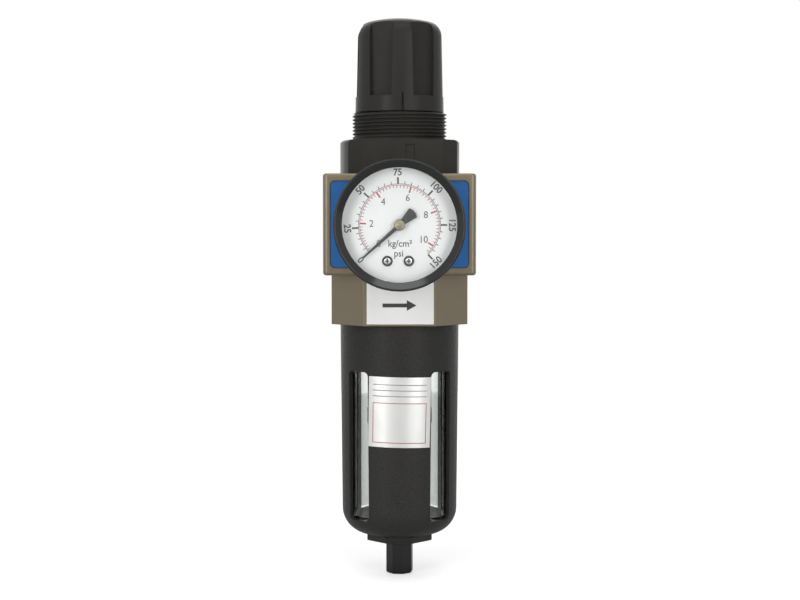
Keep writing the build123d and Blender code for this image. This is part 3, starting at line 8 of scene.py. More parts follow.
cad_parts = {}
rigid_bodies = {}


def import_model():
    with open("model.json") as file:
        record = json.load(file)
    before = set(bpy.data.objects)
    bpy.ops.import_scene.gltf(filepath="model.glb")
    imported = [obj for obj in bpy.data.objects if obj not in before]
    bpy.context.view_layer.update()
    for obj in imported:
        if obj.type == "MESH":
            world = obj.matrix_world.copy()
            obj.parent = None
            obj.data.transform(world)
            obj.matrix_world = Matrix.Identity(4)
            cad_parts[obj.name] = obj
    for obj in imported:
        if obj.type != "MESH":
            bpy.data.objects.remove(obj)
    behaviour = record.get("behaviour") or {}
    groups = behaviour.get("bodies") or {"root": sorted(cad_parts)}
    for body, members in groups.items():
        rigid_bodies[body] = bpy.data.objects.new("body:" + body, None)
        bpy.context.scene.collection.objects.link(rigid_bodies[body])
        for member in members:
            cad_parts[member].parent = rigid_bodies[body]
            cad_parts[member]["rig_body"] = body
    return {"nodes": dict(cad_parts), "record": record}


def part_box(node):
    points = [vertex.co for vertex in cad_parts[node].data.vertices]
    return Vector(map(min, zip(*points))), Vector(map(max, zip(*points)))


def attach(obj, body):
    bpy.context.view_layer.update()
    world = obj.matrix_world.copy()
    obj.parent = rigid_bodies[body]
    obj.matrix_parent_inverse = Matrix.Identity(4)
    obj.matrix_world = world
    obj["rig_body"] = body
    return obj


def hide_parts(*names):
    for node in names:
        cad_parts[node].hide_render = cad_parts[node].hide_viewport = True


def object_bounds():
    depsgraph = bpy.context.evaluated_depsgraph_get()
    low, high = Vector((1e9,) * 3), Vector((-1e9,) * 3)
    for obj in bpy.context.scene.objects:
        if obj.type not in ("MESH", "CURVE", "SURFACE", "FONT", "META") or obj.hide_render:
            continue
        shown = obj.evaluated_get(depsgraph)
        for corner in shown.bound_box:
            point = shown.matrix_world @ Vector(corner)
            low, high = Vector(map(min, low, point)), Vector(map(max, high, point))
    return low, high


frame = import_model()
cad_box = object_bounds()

# Filter regulator: finish, print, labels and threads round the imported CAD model.
# Lengths are in metres in the CAD frame; MM turns millimetres into metres.
MM = 0.001

collection = bpy.context.scene.collection
nodes = frame["nodes"]


# Camera: the photograph's view, fitted to the gauge, the frame and the guard
CAMERA_DISTANCE = 717.5 * MM
CAMERA_SIDE = 0.2 * MM
CAMERA_HEIGHT = -29.2 * MM
CAMERA_PITCH = 3.07
CAMERA_LENS = 75.49
SENSOR_WIDTH = 36.0

camera_data = bpy.data.cameras.new("camera")
camera_data.lens = CAMERA_LENS
camera_data.sensor_width = SENSOR_WIDTH
camera_data.clip_start = 0.01
camera = bpy.data.objects.new("camera", camera_data)
camera.location = (CAMERA_SIDE, -CAMERA_DISTANCE, CAMERA_HEIGHT)
camera.rotation_euler = (radians(90 - CAMERA_PITCH), 0, 0)
collection.objects.link(camera)
bpy.context.scene.camera = camera
bpy.context.scene.view_settings.view_transform = "Standard"


# Small tools for node materials
class Finish:
    """A Principled material whose texture nodes read the object's own coordinates, in metres."""

    def __init__(self, name, color, roughness, **sockets):
        self.material = bpy.data.materials.new(name)
        self.material.use_nodes = True
        self.tree = self.material.node_tree
        self.shader = self.tree.nodes["Principled BSDF"]
        self.shader.inputs["Base Color"].default_value = (*color, 1)
        self.shader.inputs["Roughness"].default_value = roughness
        for socket, value in sockets.items():
            self.shader.inputs[socket.replace("_", " ")].default_value = value
        self.place = self.add("ShaderNodeTexCoord").outputs["Object"]

    def add(self, kind, **settings):
        node = self.tree.nodes.new(kind)
        for setting, value in settings.items():
            setattr(node, setting, value)
        return node

    def link(self, source, target):
        self.tree.links.new(source, target)

    def noise(self, size, detail=2.0, stretch=(1, 1, 1)):
        """Noise whose features are about as large as size."""
        mapping = self.add("ShaderNodeMapping")
        mapping.inputs["Scale"].default_value = stretch
        self.link(self.place, mapping.inputs["Vector"])
        noise = self.add("ShaderNodeTexNoise")
        noise.inputs["Scale"].default_value = 1 / size
        noise.inputs["Detail"].default_value = detail
        self.link(mapping.outputs["Vector"], noise.inputs["Vector"])
        return noise.outputs["Fac"]

    def spread(self, factor, low, high):
        """Maps the middle of a noise onto a range."""
        spread = self.add("ShaderNodeMapRange")
        spread.inputs["From Min"].default_value = 0.3
        spread.inputs["From Max"].default_value = 0.7
        spread.inputs["To Min"].default_value = low
        spread.inputs["To Max"].default_value = high
        self.link(factor, spread.inputs["Value"])
        return spread.outputs["Result"]

    def vary_color(self, factor, first, second):
        mix = self.add("ShaderNodeMix", data_type="RGBA")
        mix.inputs["A"].default_value = (*first, 1)
        mix.inputs["B"].default_value = (*second, 1)
        self.link(factor, mix.inputs["Factor"])
        self.link(mix.outputs["Result"], self.shader.inputs["Base Color"])

    def vary_roughness(self, factor, low, high):
        self.link(self.spread(factor, low, high), self.shader.inputs["Roughness"])

    def bump(self, factor, height, edge=0.0):
        """Raises the surface by a noise of that height, with edges rounded to a radius."""
        bump = self.add("ShaderNodeBump")
        bump.inputs["Distance"].default_value = height
        self.link(factor, bump.inputs["Height"])
        if edge:
            bevel = self.add("ShaderNodeBevel", samples=4)
            bevel.inputs["Radius"].default_value = edge
            self.link(bevel.outputs["Normal"], bump.inputs["Normal"])
        self.link(bump.outputs["Normal"], self.shader.inputs["Normal"])


def moulded_plastic(name, color, roughness, specular=0.2):
    """Satin moulded plastic: faint flow marks and a fine grain."""
    finish = Finish(name, color, roughness, Specular_IOR_Level=specular)
    flow = finish.noise(9 * MM, 3.0, (1, 1, 0.3))
    finish.vary_roughness(flow, roughness - 0.06, roughness + 0.08)
    finish.vary_color(flow, [c * 0.85 for c in color], [c * 1.2 for c in color])
    finish.bump(finish.noise(0.35 * MM, 3.0), 0.012 * MM, edge=0.35 * MM)
    return finish.material


def lacquered_casting(name, color):
    """Champagne lacquer over a die casting: soft orange peel and a metallic sparkle."""
    finish = Finish(name, color, 0.42, Metallic=0.55, Coat_Weight=0.35, Coat_Roughness=0.25)
    cloud = finish.noise(14 * MM, 4.0)
    finish.vary_color(cloud, [c * 0.93 for c in color], [c * 1.07 for c in color])
    finish.vary_roughness(finish.noise(0.6 * MM, 2.0), 0.36, 0.5)
    finish.bump(finish.noise(0.9 * MM, 3.0), 0.02 * MM, edge=0.5 * MM)
    return finish.material


def wrinkle_coat(name, color):
    """Black wrinkle powder coat: a fine leathery pebble, with random dark specks and bright specks painted
    into the colour as sparkle glints.
    """
    finish = Finish(name, color, 0.4, Specular_IOR_Level=0.1)
    pebble = finish.noise(0.9 * MM, 4.0)
    finish.vary_roughness(pebble, 0.3, 0.48)
    # Painted glints: the brighter specks lift the base colour to stand in for sparkle off the pebbled coat;
    # the darker ones are random tone.
    finish.vary_color(finish.noise(0.45 * MM, 2.0), [c * 0.5 for c in color], [c * 1.9 for c in color])
    finish.bump(pebble, 0.16 * MM, edge=0.5 * MM)
    return finish.material


def enamel(name, color, roughness, coat, specular=0.5):
    """Smooth paint with a slight orange peel."""
    gloss = {"Coat_Weight": coat, "Coat_Roughness": 0.12, "Specular_IOR_Level": specular}
    finish = Finish(name, color, roughness, **gloss)
    finish.vary_color(finish.noise(18 * MM, 2.0), [c * 0.94 for c in color], [c * 1.06 for c in color])
    finish.bump(finish.noise(1.2 * MM, 2.0), 0.01 * MM, edge=0.3 * MM)
    return finish.material


def metal(name, color, roughness, grain=(1, 1, 1)):
    """Bare metal with turning or drawing marks along the axis that grain leaves at 1."""
    finish = Finish(name, color, roughness, Metallic=1.0)
    marks = finish.noise(1.5 * MM, 4.0, grain)
    finish.vary_roughness(marks, roughness - 0.08, roughness + 0.1)
    finish.vary_color(marks, [c * 0.9 for c in color], [c * 1.08 for c in color])
    finish.bump(marks, 0.01 * MM, edge=0.2 * MM)
    return finish.material


def clear_moulding(name, color, roughness, ior):
    """Clear plastic or glass that passes the light on what lies behind it straight through."""
    finish = Finish(name, color, roughness, Transmission_Weight=1.0, IOR=ior)
    finish.bump(finish.noise(6 * MM, 1.0), 0.01 * MM)
    path = finish.add("ShaderNodeLightPath")
    clear = finish.add("ShaderNodeBsdfTransparent")
    clear.inputs["Color"].default_value = (*color, 1)
    passing = finish.add("ShaderNodeMath", operation="MAXIMUM")
    pick = finish.add("ShaderNodeMixShader")
    finish.link(path.outputs["Is Shadow Ray"], passing.inputs[0])
    finish.link(path.outputs["Is Diffuse Ray"], passing.inputs[1])
    finish.link(passing.outputs["Value"], pick.inputs["Fac"])
    finish.link(finish.shader.outputs["BSDF"], pick.inputs[1])
    finish.link(clear.outputs["BSDF"], pick.inputs[2])
    finish.link(pick.outputs["Shader"], finish.tree.nodes["Material Output"].inputs["Surface"])
    return finish.material


def rubber(name, color):
    """Moulded nitrile rubber with a dusty bloom."""
    finish = Finish(name, color, 0.7)
    bloom = finish.noise(4 * MM, 3.0)
    finish.vary_color(bloom, color, [c * 1.8 for c in color])
    finish.bump(finish.noise(0.25 * MM, 2.0), 0.01 * MM)
    return finish.material


def porous(name, color):
    """Sintered filter medium: packed grains, with painted shade darkening the sunken gaps between them."""
    finish = Finish(name, color, 0.85)
    grains = finish.add("ShaderNodeTexVoronoi")
    grains.inputs["Scale"].default_value = 1 / (0.45 * MM)
    finish.link(finish.place, grains.inputs["Vector"])
    # Painted shade: the colour darkens towards the grain edges, where the bump below sinks the surface into
    # the pores.
    finish.vary_color(grains.outputs["Distance"], [c * 1.1 for c in color], [c * 0.7 for c in color])
    finish.bump(grains.outputs["Distance"], -0.06 * MM)
    return finish.material


def print_ink(name, color):
    """Screen print ink, a little uneven in density."""
    finish = Finish(name, color, 0.5)
    density = finish.noise(0.5 * MM, 2.0)
    finish.vary_color(density, [c * 0.9 for c in color], [min(1, c * 1.15 + 0.01) for c in color])
    return finish.material


LACQUER = (0.162, 0.132, 0.083)
looks = {
    "knob_plastic": moulded_plastic("knob_plastic", (0.028, 0.027, 0.025), 0.34, 0.08),
    "bonnet_plastic": moulded_plastic("bonnet_plastic", (0.032, 0.031, 0.028), 0.38, 0.08),
    "body_metal": lacquered_casting("body_metal", LACQUER),
    "plate_blue": enamel("plate_blue", (0.012, 0.120, 0.37), 0.3, 0.1, 0.3),
    "guard_coat": wrinkle_coat("guard_coat", (0.026, 0.0255, 0.024)),
    "black_steel": enamel("black_steel", (0.006, 0.006, 0.006), 0.16, 0.0, 0.45),
    "clear_bowl": clear_moulding("clear_bowl", (0.90, 0.93, 0.905), 0.02, 1.585),
    "lens_clear": clear_moulding("lens_clear", (0.99, 0.995, 0.995), 0.0, 1.45),
    "dial_white": enamel("dial_white", (0.84, 0.85, 0.84), 0.5, 0.1),
    "pointer_black": enamel("pointer_black", (0.010, 0.010, 0.010), 0.4, 0.0, 0.3),
    "brass": metal("brass", (0.62, 0.47, 0.22), 0.3),
    "steel": metal("steel", (0.55, 0.55, 0.55), 0.3),
    "spring_steel": metal("spring_steel", (0.42, 0.42, 0.44), 0.35),
    "rubber": rubber("rubber", (0.02, 0.02, 0.02)),
    "filter_media": porous("filter_media", (0.74, 0.72, 0.66)),
    "inner_plastic": moulded_plastic("inner_plastic", (0.045, 0.045, 0.045), 0.5, 0.4),
}
hub_brass = metal("hub_brass", (0.22, 0.20, 0.13), 0.45)
for row in frame["record"]["subparts"]:
    mesh = nodes[row["node"]].data
    mesh.materials.clear()
    mesh.materials.append(looks[row["material_slot"]])


# Small tools for meshes
def new_piece(name, mesh, material, body):
    """A named piece with its material, riding on a CAD body."""
    mesh.materials.clear()
    mesh.materials.append(material)
    piece = bpy.data.objects.new(name, mesh)
    collection.objects.link(piece)
    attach(piece, body)
    return piece


def mesh_from(shape, name):
    mesh = bpy.data.meshes.new(name)
    shape.to_mesh(mesh)
    shape.free()
    return mesh


def lathe(shape, profile, centre, steps=40):
    """Turns points (radius, rise) about a line along Y through centre; rise is towards the front."""
    rings = []
    for radius, rise in profile:
        turns = [2 * pi * k / steps for k in range(steps if radius else 1)]
        offsets = [Vector((radius * cos(turn), -rise, radius * sin(turn))) for turn in turns]
        rings.append([shape.verts.new(centre + offset) for offset in offsets])
    for one, two in zip(rings, rings[1:]):
        for k in range(steps):
            corners = [one[k % len(one)], one[(k + 1) % len(one)], two[(k + 1) % len(two)], two[k % len(two)]]
            shape.faces.new(list(dict.fromkeys(corners)))
    bmesh.ops.remove_doubles(shape, verts=shape.verts, dist=0.001 * MM)
    bmesh.ops.recalc_face_normals(shape, faces=shape.faces)


def carve(mesh, cutters, edge_angle=20.0):
    """The mesh with the cutters taken out of it, its edges sharp beyond an angle."""
    work = bpy.data.objects.new(mesh.name + "_work", mesh)
    collection.objects.link(work)
    for cutter in cutters:
        modifier = work.modifiers.new("cut", "BOOLEAN")
        modifier.operation = "DIFFERENCE"
        modifier.solver = "EXACT"
        modifier.object = cutter
    graph = bpy.context.evaluated_depsgraph_get()
    finished = bpy.data.meshes.new_from_object(work.evaluated_get(graph))
    bpy.data.objects.remove(work)
    for cutter in cutters:
        bpy.data.objects.remove(cutter)
    finished.shade_smooth()
    finished.set_sharp_from_angle(angle=radians(edge_angle))
    return finished


def cut(node, cutters, edge_angle=20.0):
    """A copy of a CAD node with cutters taken out of it, which stands for the node."""
    original = nodes[node]
    mesh = original.data.copy()
    mesh.name = node + "_cut"
    shape = bmesh.new()
    shape.from_mesh(mesh)
    bmesh.ops.remove_doubles(shape, verts=shape.verts, dist=0.001 * MM)
    shape.to_mesh(mesh)
    shape.free()
    stored_normals = mesh.attributes.get("custom_normal")
    if stored_normals:
        mesh.attributes.remove(stored_normals)
    finished = carve(mesh, cutters, edge_angle)
    slot = next(r["material_slot"] for r in frame["record"]["subparts"] if r["node"] == node)
    piece = new_piece(node + "_detailed", finished, looks[slot], original["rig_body"])
    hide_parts(node)
    return piece


def helix_cutter(name, crest, pitch, depth, turns, place, outwards=True, steps=60):
    """A helical V groove about +Z of its own frame: depth is cut from the crest radius, inwards from a
    threaded neck or outwards from a threaded hole, and place puts it in the row frame."""
    side = -1 if outwards else 1
    clear = 0.12 * MM
    root_half = 0.06 * pitch
    mouth_half = root_half + (depth + clear) * 0.577
    shape = bmesh.new()
    rings = []
    count = int(turns * steps)
    for step in range(count + 1):
        angle = step * 2 * pi / steps
        run_in = min(1.0, step / (steps * 0.25))
        reach = crest + side * depth * run_in
        mouth = crest - side * clear
        height = step / steps * pitch
        profile = [(reach, -root_half), (mouth, -mouth_half), (mouth, mouth_half), (reach, root_half)]
        rings.append([
            shape.verts.new(place @ Vector((r * cos(angle), r * sin(angle), height + z))) for r, z in profile
        ])
    for lower, upper in zip(rings, rings[1:]):
        for k in range(4):
            shape.faces.new((lower[k], lower[(k + 1) % 4], upper[(k + 1) % 4], upper[k]))
    shape.faces.new(rings[0])
    shape.faces.new(reversed(rings[-1]))
    bmesh.ops.recalc_face_normals(shape, faces=shape.faces)
    cutter = bpy.data.objects.new(name, mesh_from(shape, name))
    collection.objects.link(cutter)
    return cutter


# Panel thread on the bonnet's neck
NECK_RADIUS = 20.0 * MM
NECK_HEIGHT = 11.6 * MM
NECK_PITCH = 1.5 * MM
NECK_START = 215.0
neck_start = Matrix.Translation((0, 0, 0.55 * NECK_PITCH)) @ Matrix.Rotation(radians(NECK_START), 4, "Z")
NECK_DEPTH = 0.9 * MM
neck_turns = NECK_HEIGHT / NECK_PITCH
cut("bonnet", [helix_cutter("neck_thread", NECK_RADIUS, NECK_PITCH, NECK_DEPTH, neck_turns, neck_start)])


# Pipe threads in the two side ports
PORT_RADIUS = 9.5 * MM
PORT_PITCH = 1.814 * MM
PORT_DEPTH = 0.85 * MM
PORT_TURNS = 7.6
PORT_MOUTH = 31.3 * MM
PORT_HEIGHT = -35.1 * MM
port_cutters = []
for side in (-1, 1):
    inwards = Matrix.Rotation(-side * pi / 2, 4, "Y")
    mouth = Matrix.Translation((side * PORT_MOUTH, 0, PORT_HEIGHT)) @ inwards
    port_cutters.append(
        helix_cutter("port_thread", PORT_RADIUS, PORT_PITCH, PORT_DEPTH, PORT_TURNS, mouth, outwards=False)
    )
cut("body", port_cutters)


# Dial print
dial_low, dial_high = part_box("gauge_dial")
DIAL_FACE = dial_low.y
GAUGE_CENTRE = Vector(((dial_low.x + dial_high.x) / 2, 0, (dial_low.z + dial_high.z) / 2))
INK_LIFT = 0.06 * MM
UPRIGHT = Matrix.Rotation(pi / 2, 4, "X")
INK_PLACE = Matrix.Translation((GAUGE_CENTRE.x, DIAL_FACE - INK_LIFT, GAUGE_CENTRE.z)) @ UPRIGHT
ZERO_ANGLE = -132.0
FIRST_NUMBER = 25
FIRST_ANGLE = -94.0
DEGREES_PER_PSI = 1.84
LAST_PSI = 150
PSI_PER_KG = 14.22


def scale_angle(psi):
    """Degrees clockwise from the top; the first stretch of the scale is closer than the rest."""
    if psi < FIRST_NUMBER:
        return ZERO_ANGLE + psi * (FIRST_ANGLE - ZERO_ANGLE) / FIRST_NUMBER
    return FIRST_ANGLE + (psi - FIRST_NUMBER) * DEGREES_PER_PSI


def on_dial(angle, radius, sideways=0.0):
    """A point in the dial's plane, x to the right and y up, at an angle clockwise from the top."""
    turn = radians(angle)
    return Vector((radius * sin(turn) + sideways * cos(turn), radius * cos(turn) - sideways * sin(turn), 0))


def add_tick(shape, angle, inner, outer, width):
    corners = [(inner, -width / 2), (inner, width / 2), (outer, width / 2), (outer, -width / 2)]
    shape.faces.new([shape.verts.new(on_dial(angle, r, s)) for r, s in corners])


def add_arc(shape, start, end, inner, outer):
    steps = int((end - start) / 3)
    rows = []
    for step in range(steps + 1):
        angle = start + (end - start) * step / steps
        rows.append([shape.verts.new(on_dial(angle, inner)), shape.verts.new(on_dial(angle, outer))])
    for one, two in zip(rows, rows[1:]):
        shape.faces.new((one[0], two[0], two[1], one[1]))


def add_text(shape, text, place, size, weight=0.03 * MM, stretch=0.93):
    """Flat letters centred on a place, as a 4 x 4 matrix in the print's own plane."""
    curve = bpy.data.curves.new("letters", "FONT")
    curve.body = text
    curve.size = size
    curve.align_x = "CENTER"
    curve.align_y = "CENTER"
    curve.resolution_u = 3
    curve.offset = weight
    letters = bpy.data.objects.new("letters", curve)
    collection.objects.link(letters)
    graph = bpy.context.evaluated_depsgraph_get()
    mesh = bpy.data.meshes.new_from_object(letters.evaluated_get(graph))
    mesh.transform(place @ Matrix.Diagonal((stretch, 1, 1, 1)))
    shape.from_mesh(mesh)
    bpy.data.objects.remove(letters)
    bpy.data.meshes.remove(mesh)


def print_piece(name, shape, color, place, body="housing"):
    """Turns flat print to face out of its surface and makes it a piece."""
    for face in shape.faces:
        if face.normal.z < 0:
            face.normal_flip()
    mesh = mesh_from(shape, name)
    mesh.transform(place)
    return new_piece(name, mesh, print_ink(name, color), body)


black = bmesh.new()
red = bmesh.new()
grey = bmesh.new()
OUTER_ARC = 16.3 * MM
INNER_ARC = 15.6 * MM
LINE = 0.2 * MM
add_arc(black, ZERO_ANGLE, scale_angle(LAST_PSI), OUTER_ARC - LINE, OUTER_ARC)
add_arc(red, ZERO_ANGLE, scale_angle(LAST_PSI), INNER_ARC, INNER_ARC + LINE)
for psi in range(0, LAST_PSI + 1, 5):
    if psi % 25:
        add_tick(black, scale_angle(psi), OUTER_ARC, 17.35 * MM, 0.26 * MM)
    else:
        add_tick(black, scale_angle(psi), OUTER_ARC, 18.8 * MM, 0.7 * MM)
        angle = scale_angle(psi)
        facing = angle if abs(angle) <= 90.5 else angle + 180
        spot = Matrix.Translation(on_dial(angle, 20.7 * MM)) @ Matrix.Rotation(-radians(facing), 4, "Z")
        add_text(black, str(psi), spot, 3.8 * MM, 0.07 * MM)
KG_STEP = 0.2
for step in range(53):
    kg = step * KG_STEP
    angle = scale_angle(kg * PSI_PER_KG)
    ink = red if step % 2 else black
    if step % 10:
        add_tick(ink, angle, 14.65 * MM, INNER_ARC, 0.24 * MM)
    else:
        add_tick(red if step else black, angle, 13.2 * MM, INNER_ARC, 0.6 * MM)
        spot = Matrix.Translation(on_dial(angle, 11.1 * MM))
        add_text(grey, str(round(kg)), spot, 3.9 * MM, 0.0)
add_text(grey, "kg/cm²", Matrix.Translation((0.2 * MM, -7.4 * MM, 0)), 3.8 * MM)
add_text(grey, "psi", Matrix.Translation((-0.3 * MM, -11.3 * MM, 0)), 3.7 * MM)
print_piece("dial_print_black", black, (0.02, 0.02, 0.02), INK_PLACE)
print_piece("dial_print_red", red, (0.42, 0.03, 0.04), INK_PLACE)
print_piece("dial_print_grey", grey, (0.03, 0.02, 0.02), INK_PLACE)


# Dial screws: domed heads with a cross recess, each in a dark cup
SCREW_X = (-4.8 * MM, 3.7 * MM)
SCREW_DROP = 14.2 * MM
SLOT_HALF = 0.26 * MM
SLOT_REACH = 0.95 * MM
SLOT_FLOOR = 0.2 * MM
HEAD_PROFILE = [(0, 0), (1.4, 0), (1.4, 0.35), (1.2, 0.6), (0.7, 0.76), (0, 0.8)]
CUP_PROFILE = [
    (0, 0.02), (2.1, 0.02), (2.1, 0.3), (1.95, 0.6), (1.65, 0.6), (1.42, 0.4), (1.42, 0.26), (0, 0.26),
]


def box_cutter(name, low, high):
    """A cutter between two corners."""
    shape = bmesh.new()
    bmesh.ops.create_cube(shape, size=1.0)
    middle = (low + high) / 2
    for vertex in shape.verts:
        vertex.co = middle + Vector([c * s for c, s in zip(vertex.co, high - low)])
    cutter = bpy.data.objects.new(name, mesh_from(shape, name))
    collection.objects.link(cutter)
    return cutter


heads = bmesh.new()
cups = bmesh.new()
slots = []
for x in SCREW_X:
    screw_centre = Vector((GAUGE_CENTRE.x + x, DIAL_FACE, GAUGE_CENTRE.z - SCREW_DROP))
    lathe(heads, [(radius * MM, rise * MM) for radius, rise in HEAD_PROFILE], screw_centre)
    lathe(cups, [(radius * MM, rise * MM) for radius, rise in CUP_PROFILE], screw_centre)
    for reach_x, reach_z in ((SLOT_REACH, SLOT_HALF), (SLOT_HALF, SLOT_REACH)):
        half = Vector((reach_x, 0.4 * MM, reach_z))
        middle = screw_centre - Vector((0, SLOT_FLOOR + 0.4 * MM, 0))
        slots.append(box_cutter("cross_slot", middle - half, middle + half))
heads_mesh = carve(mesh_from(heads, "dial_screw_heads"), slots, 30.0)
screw_heads = new_piece("dial_screw_heads", heads_mesh, looks["steel"], "housing")
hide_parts("dial_screws")
cups_mesh = mesh_from(cups, "dial_screw_cups")
new_piece("dial_screw_cups", cups_mesh, looks["pointer_black"], "housing")


# Cap on the pointer's hub
CAP_PROFILE = [
    (0, -0.02), (2.0, -0.02), (2.0, 0.08), (1.8, 0.18), (0.85, 0.2), (0.75, 0.33), (0.5, 0.4), (0, 0.42),
]
cap = bmesh.new()
cap_centre = Vector((GAUGE_CENTRE.x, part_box("pointer")[0].y, GAUGE_CENTRE.z))
lathe(cap, [(radius * MM, rise * MM) for radius, rise in CAP_PROFILE], cap_centre)
cap_mesh = mesh_from(cap, "pointer_cap")
cap_mesh.shade_smooth()
cap_mesh.set_sharp_from_angle(angle=radians(30))
new_piece("pointer_cap", cap_mesh, hub_brass, nodes["pointer"]["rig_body"])


# Label on the collar: white, with a generic arrow for the flow
collar_front = -28.5 * MM
LABEL_MIDDLE = 0.3 * MM
LABEL_HALF_WIDTH = 13.8 * MM
LABEL_TOP = -58.2 * MM
LABEL_BOTTOM = -76.2 * MM
LABEL_THICKNESS = 0.12 * MM


def slab(shape, points, low, high):
    """A plate between two y values, from points (x, z)."""
    front = [shape.verts.new((x, low, z)) for x, z in points]
    back = [shape.verts.new((x, high, z)) for x, z in points]
    shape.faces.new(front)
    shape.faces.new(reversed(back))
    for k in range(len(points)):
        n = (k + 1) % len(points)
        shape.faces.new((front[k], back[k], back[n], front[n]))
    bmesh.ops.recalc_face_normals(shape, faces=shape.faces)


def label_paper(name, color):
    finish = Finish(name, color, 0.35, Coat_Weight=0.4, Coat_Roughness=0.1)
    cloud = finish.noise(12 * MM, 2.0)
    finish.vary_color(cloud, [c * 0.97 for c in color], [min(1, c * 1.02) for c in color])
    finish.bump(finish.noise(2.5 * MM, 2.0), 0.02 * MM)
    return finish.material


paper = bmesh.new()
label_corners = [
    (LABEL_MIDDLE - LABEL_HALF_WIDTH, LABEL_BOTTOM), (LABEL_MIDDLE + LABEL_HALF_WIDTH, LABEL_BOTTOM),
    (LABEL_MIDDLE + LABEL_HALF_WIDTH, LABEL_TOP), (LABEL_MIDDLE - LABEL_HALF_WIDTH, LABEL_TOP),
]
slab(paper, label_corners, collar_front - LABEL_THICKNESS, collar_front)
label_white = label_paper("label_white", (0.86, 0.86, 0.85))
new_piece("collar_label", mesh_from(paper, "collar_label"), label_white, "housing")

arrow = bmesh.new()
ARROW_HALF = 7.0 * MM
ARROW_HEAD = 4.0 * MM
ARROW_HEAD_HALF = 2.2 * MM
ARROW_BAR = 0.8 * MM
ARROW_HEIGHT = -68.4 * MM
head_start = ARROW_HALF - ARROW_HEAD
arrow_outline = [
    (-ARROW_HALF, -ARROW_BAR), (head_start, -ARROW_BAR), (head_start, -ARROW_HEAD_HALF), (ARROW_HALF, 0),
    (head_start, ARROW_HEAD_HALF), (head_start, ARROW_BAR), (-ARROW_HALF, ARROW_BAR),
]
arrow.faces.new([arrow.verts.new((x, z, 0)) for x, z in arrow_outline])
arrow.normal_update()
arrow_place = Matrix.Translation((0, collar_front - LABEL_THICKNESS - 0.02 * MM, ARROW_HEIGHT)) @ UPRIGHT
print_piece("collar_arrow", arrow, (0.02, 0.02, 0.02), arrow_place)


# Foil label on the guard's front strip
guard_low, guard_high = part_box("bowl_guard")
FOIL_TOP = -98.5 * MM
FOIL_BOTTOM = -127.9 * MM
FOIL_HALF_ANGLE = 31.0
FOIL_TILT = radians(1.2)
FOIL_LIFT = 0.08 * MM
GUARD_SHOULDER = -77.3 * MM
GUARD_TOP_RADIUS = 25.3 * MM
GUARD_FOOT_RADIUS = 24.4 * MM
GUARD_HEIGHT = 90.2 * MM


def guard_radius(height):
    share = (GUARD_SHOULDER - height) / GUARD_HEIGHT
    return GUARD_TOP_RADIUS + (GUARD_FOOT_RADIUS - GUARD_TOP_RADIUS) * share


def on_guard(across, up, lift):
    """A point on the foil: across and up from its centre, wrapped round the guard."""
    x = across * cos(FOIL_TILT) + up * sin(FOIL_TILT)
    z = (FOIL_TOP + FOIL_BOTTOM) / 2 + up * cos(FOIL_TILT) - across * sin(FOIL_TILT)
    radius = guard_radius(z) + lift
    turn = x / GUARD_TOP_RADIUS
    return Vector((radius * sin(turn), -radius * cos(turn), z))


def wrapped_patch(shape, left, right, bottom, top, lift, columns=24, rows=6):
    across = [left + (right - left) * i / columns for i in range(columns + 1)]
    upwards = [bottom + (top - bottom) * j / rows for j in range(rows + 1)]
    grid = [[shape.verts.new(on_guard(x, y, lift)) for x in across] for y in upwards]
    for j in range(rows):
        for i in range(columns):
            shape.faces.new((grid[j][i], grid[j][i + 1], grid[j + 1][i + 1], grid[j + 1][i]))


def foil(name):
    finish = Finish(name, (0.62, 0.62, 0.61), 0.4, Metallic=0.75)
    finish.vary_roughness(finish.noise(5 * MM, 3.0), 0.34, 0.48)
    finish.bump(finish.noise(4 * MM, 2.0), 0.05 * MM)
    return finish.material


foil_half_width = radians(FOIL_HALF_ANGLE) * GUARD_TOP_RADIUS
foil_half_height = (FOIL_TOP - FOIL_BOTTOM) / 2
patch = bmesh.new()
wrapped_patch(patch, -foil_half_width, foil_half_width, -foil_half_height, foil_half_height, FOIL_LIFT)
foil_mesh = mesh_from(patch, "guard_label")
foil_mesh.shade_smooth()
new_piece("guard_label", foil_mesh, foil("label_foil"), "guard")

RULE = 0.3 * MM
RULE_LIFT = FOIL_LIFT + 0.04 * MM
FIRST_RULE = 3.4 * MM
RULE_GAP = 2.4 * MM
SIDE_MARGIN = 2.0 * MM
FRAME_TOP = 3.6 * MM
FRAME_BOTTOM = -12.9 * MM
edge = foil_half_width - SIDE_MARGIN
rules = bmesh.new()
for line in range(3):
    up = foil_half_height - FIRST_RULE - line * RULE_GAP
    wrapped_patch(rules, -edge, edge, up, up + RULE, RULE_LIFT, rows=1)
rules_mesh = mesh_from(rules, "guard_label_rules")
new_piece("guard_label_rules", rules_mesh, print_ink("rule_grey", (0.16, 0.15, 0.15)), "guard")
border = bmesh.new()
for up in (FRAME_TOP, FRAME_BOTTOM):
    wrapped_patch(border, -edge, edge, up, up + RULE, RULE_LIFT, rows=1)
for across in (-edge, edge - RULE):
    wrapped_patch(border, across, across + RULE, FRAME_BOTTOM + RULE, FRAME_TOP, RULE_LIFT, columns=1)
border_mesh = mesh_from(border, "guard_label_border")
new_piece("guard_label_border", border_mesh, print_ink("rule_red", (0.40, 0.06, 0.07)), "guard")


# Stage: a pale floor that the drain knob stands on, a white background and soft studio lamps
cad_low = cad_box[0]
FLOOR_RADIUS = 0.72
floor_shape = bmesh.new()
floor_place = Matrix.Translation((0, 0, cad_low[2] - 0.2 * MM))
bmesh.ops.create_circle(floor_shape, cap_ends=True, radius=FLOOR_RADIUS, segments=96, matrix=floor_place)
floor_mesh = mesh_from(floor_shape, "floor")
floor = bpy.data.objects.new("floor", floor_mesh)
collection.objects.link(floor)

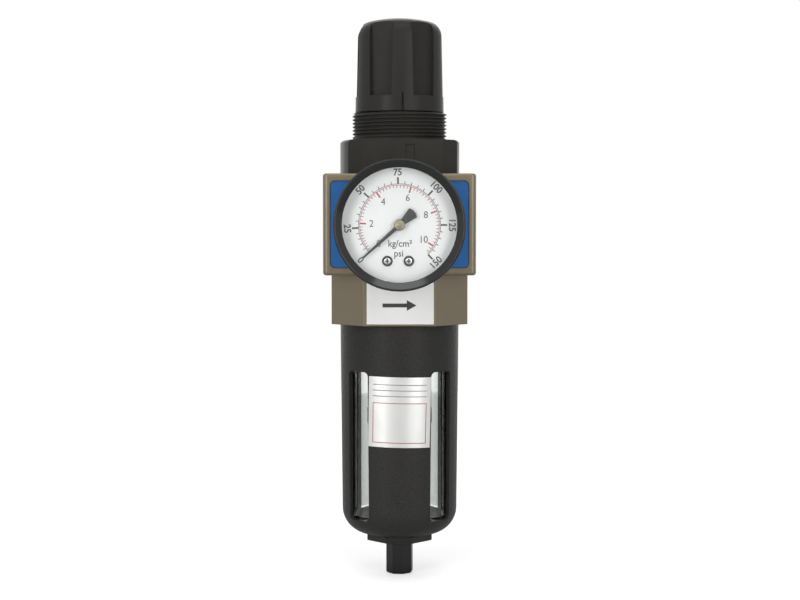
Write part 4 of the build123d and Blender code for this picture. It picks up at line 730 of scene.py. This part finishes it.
FLOOR_GLOW = 0.55
floor_look = Finish("floor", (0.85, 0.85, 0.85), 0.9)
floor_look.vary_color(floor_look.noise(0.5, 2.0), (0.84, 0.84, 0.84), (0.86, 0.86, 0.86))
floor_path = floor_look.add("ShaderNodeLightPath")
floor_glow = floor_look.add("ShaderNodeEmission")
floor_seen = floor_look.add("ShaderNodeMath", operation="MULTIPLY")
floor_seen.inputs[1].default_value = FLOOR_GLOW
floor_sum = floor_look.add("ShaderNodeAddShader")
floor_look.link(floor_path.outputs["Is Camera Ray"], floor_seen.inputs[0])
floor_look.link(floor_seen.outputs["Value"], floor_glow.inputs["Strength"])
floor_look.link(floor_look.shader.outputs["BSDF"], floor_sum.inputs[0])
floor_look.link(floor_glow.outputs["Emission"], floor_sum.inputs[1])
floor_look.link(floor_sum.outputs["Shader"], floor_look.tree.nodes["Material Output"].inputs["Surface"])
floor_mesh.materials.append(floor_look.material)

AMBIENT = 0.18
world = bpy.data.worlds.new("studio")
bpy.context.scene.world = world
world.use_nodes = True
sky = world.node_tree.nodes
wires = world.node_tree.links
path = sky.new("ShaderNodeLightPath")
seen = sky.new("ShaderNodeMath")
seen.operation = "MAXIMUM"
seen_through = sky.new("ShaderNodeMath")
seen_through.operation = "MAXIMUM"
strength = sky.new("ShaderNodeMapRange")
strength.inputs["To Min"].default_value = AMBIENT
strength.inputs["To Max"].default_value = 1.0
wires.new(path.outputs["Is Camera Ray"], seen.inputs[0])
wires.new(path.outputs["Is Transmission Ray"], seen.inputs[1])
wires.new(seen.outputs["Value"], seen_through.inputs[0])
wires.new(path.outputs["Is Glossy Ray"], seen_through.inputs[1])
wires.new(seen_through.outputs["Value"], strength.inputs["Value"])
sky["Background"].inputs["Color"].default_value = (1, 1, 1, 1)
wires.new(strength.outputs["Result"], sky["Background"].inputs["Strength"])


def lamp(name, place, size, power, target=(0, 0, -0.07)):
    """A soft rectangular lamp aimed at the middle of the object."""
    data = bpy.data.lights.new(name, "AREA")
    data.shape = "RECTANGLE"
    data.size, data.size_y = size
    data.energy = power
    light = bpy.data.objects.new(name, data)
    light.location = place
    light.rotation_euler = (Vector(target) - Vector(place)).to_track_quat("-Z", "Y").to_euler()
    collection.objects.link(light)


lamp("left_softbox", (-0.55, -0.80, 0.05), (0.34, 0.9), 4.7)
lamp("right_softbox", (0.52, -0.82, 0.02), (0.34, 0.9), 4.1)
lamp("top_softbox", (0.0, -0.35, 0.85), (0.8, 0.5), 3.2)
lamp("rear_softbox", (0.0, 0.8, 0.3), (1.0, 1.0), 2.6)
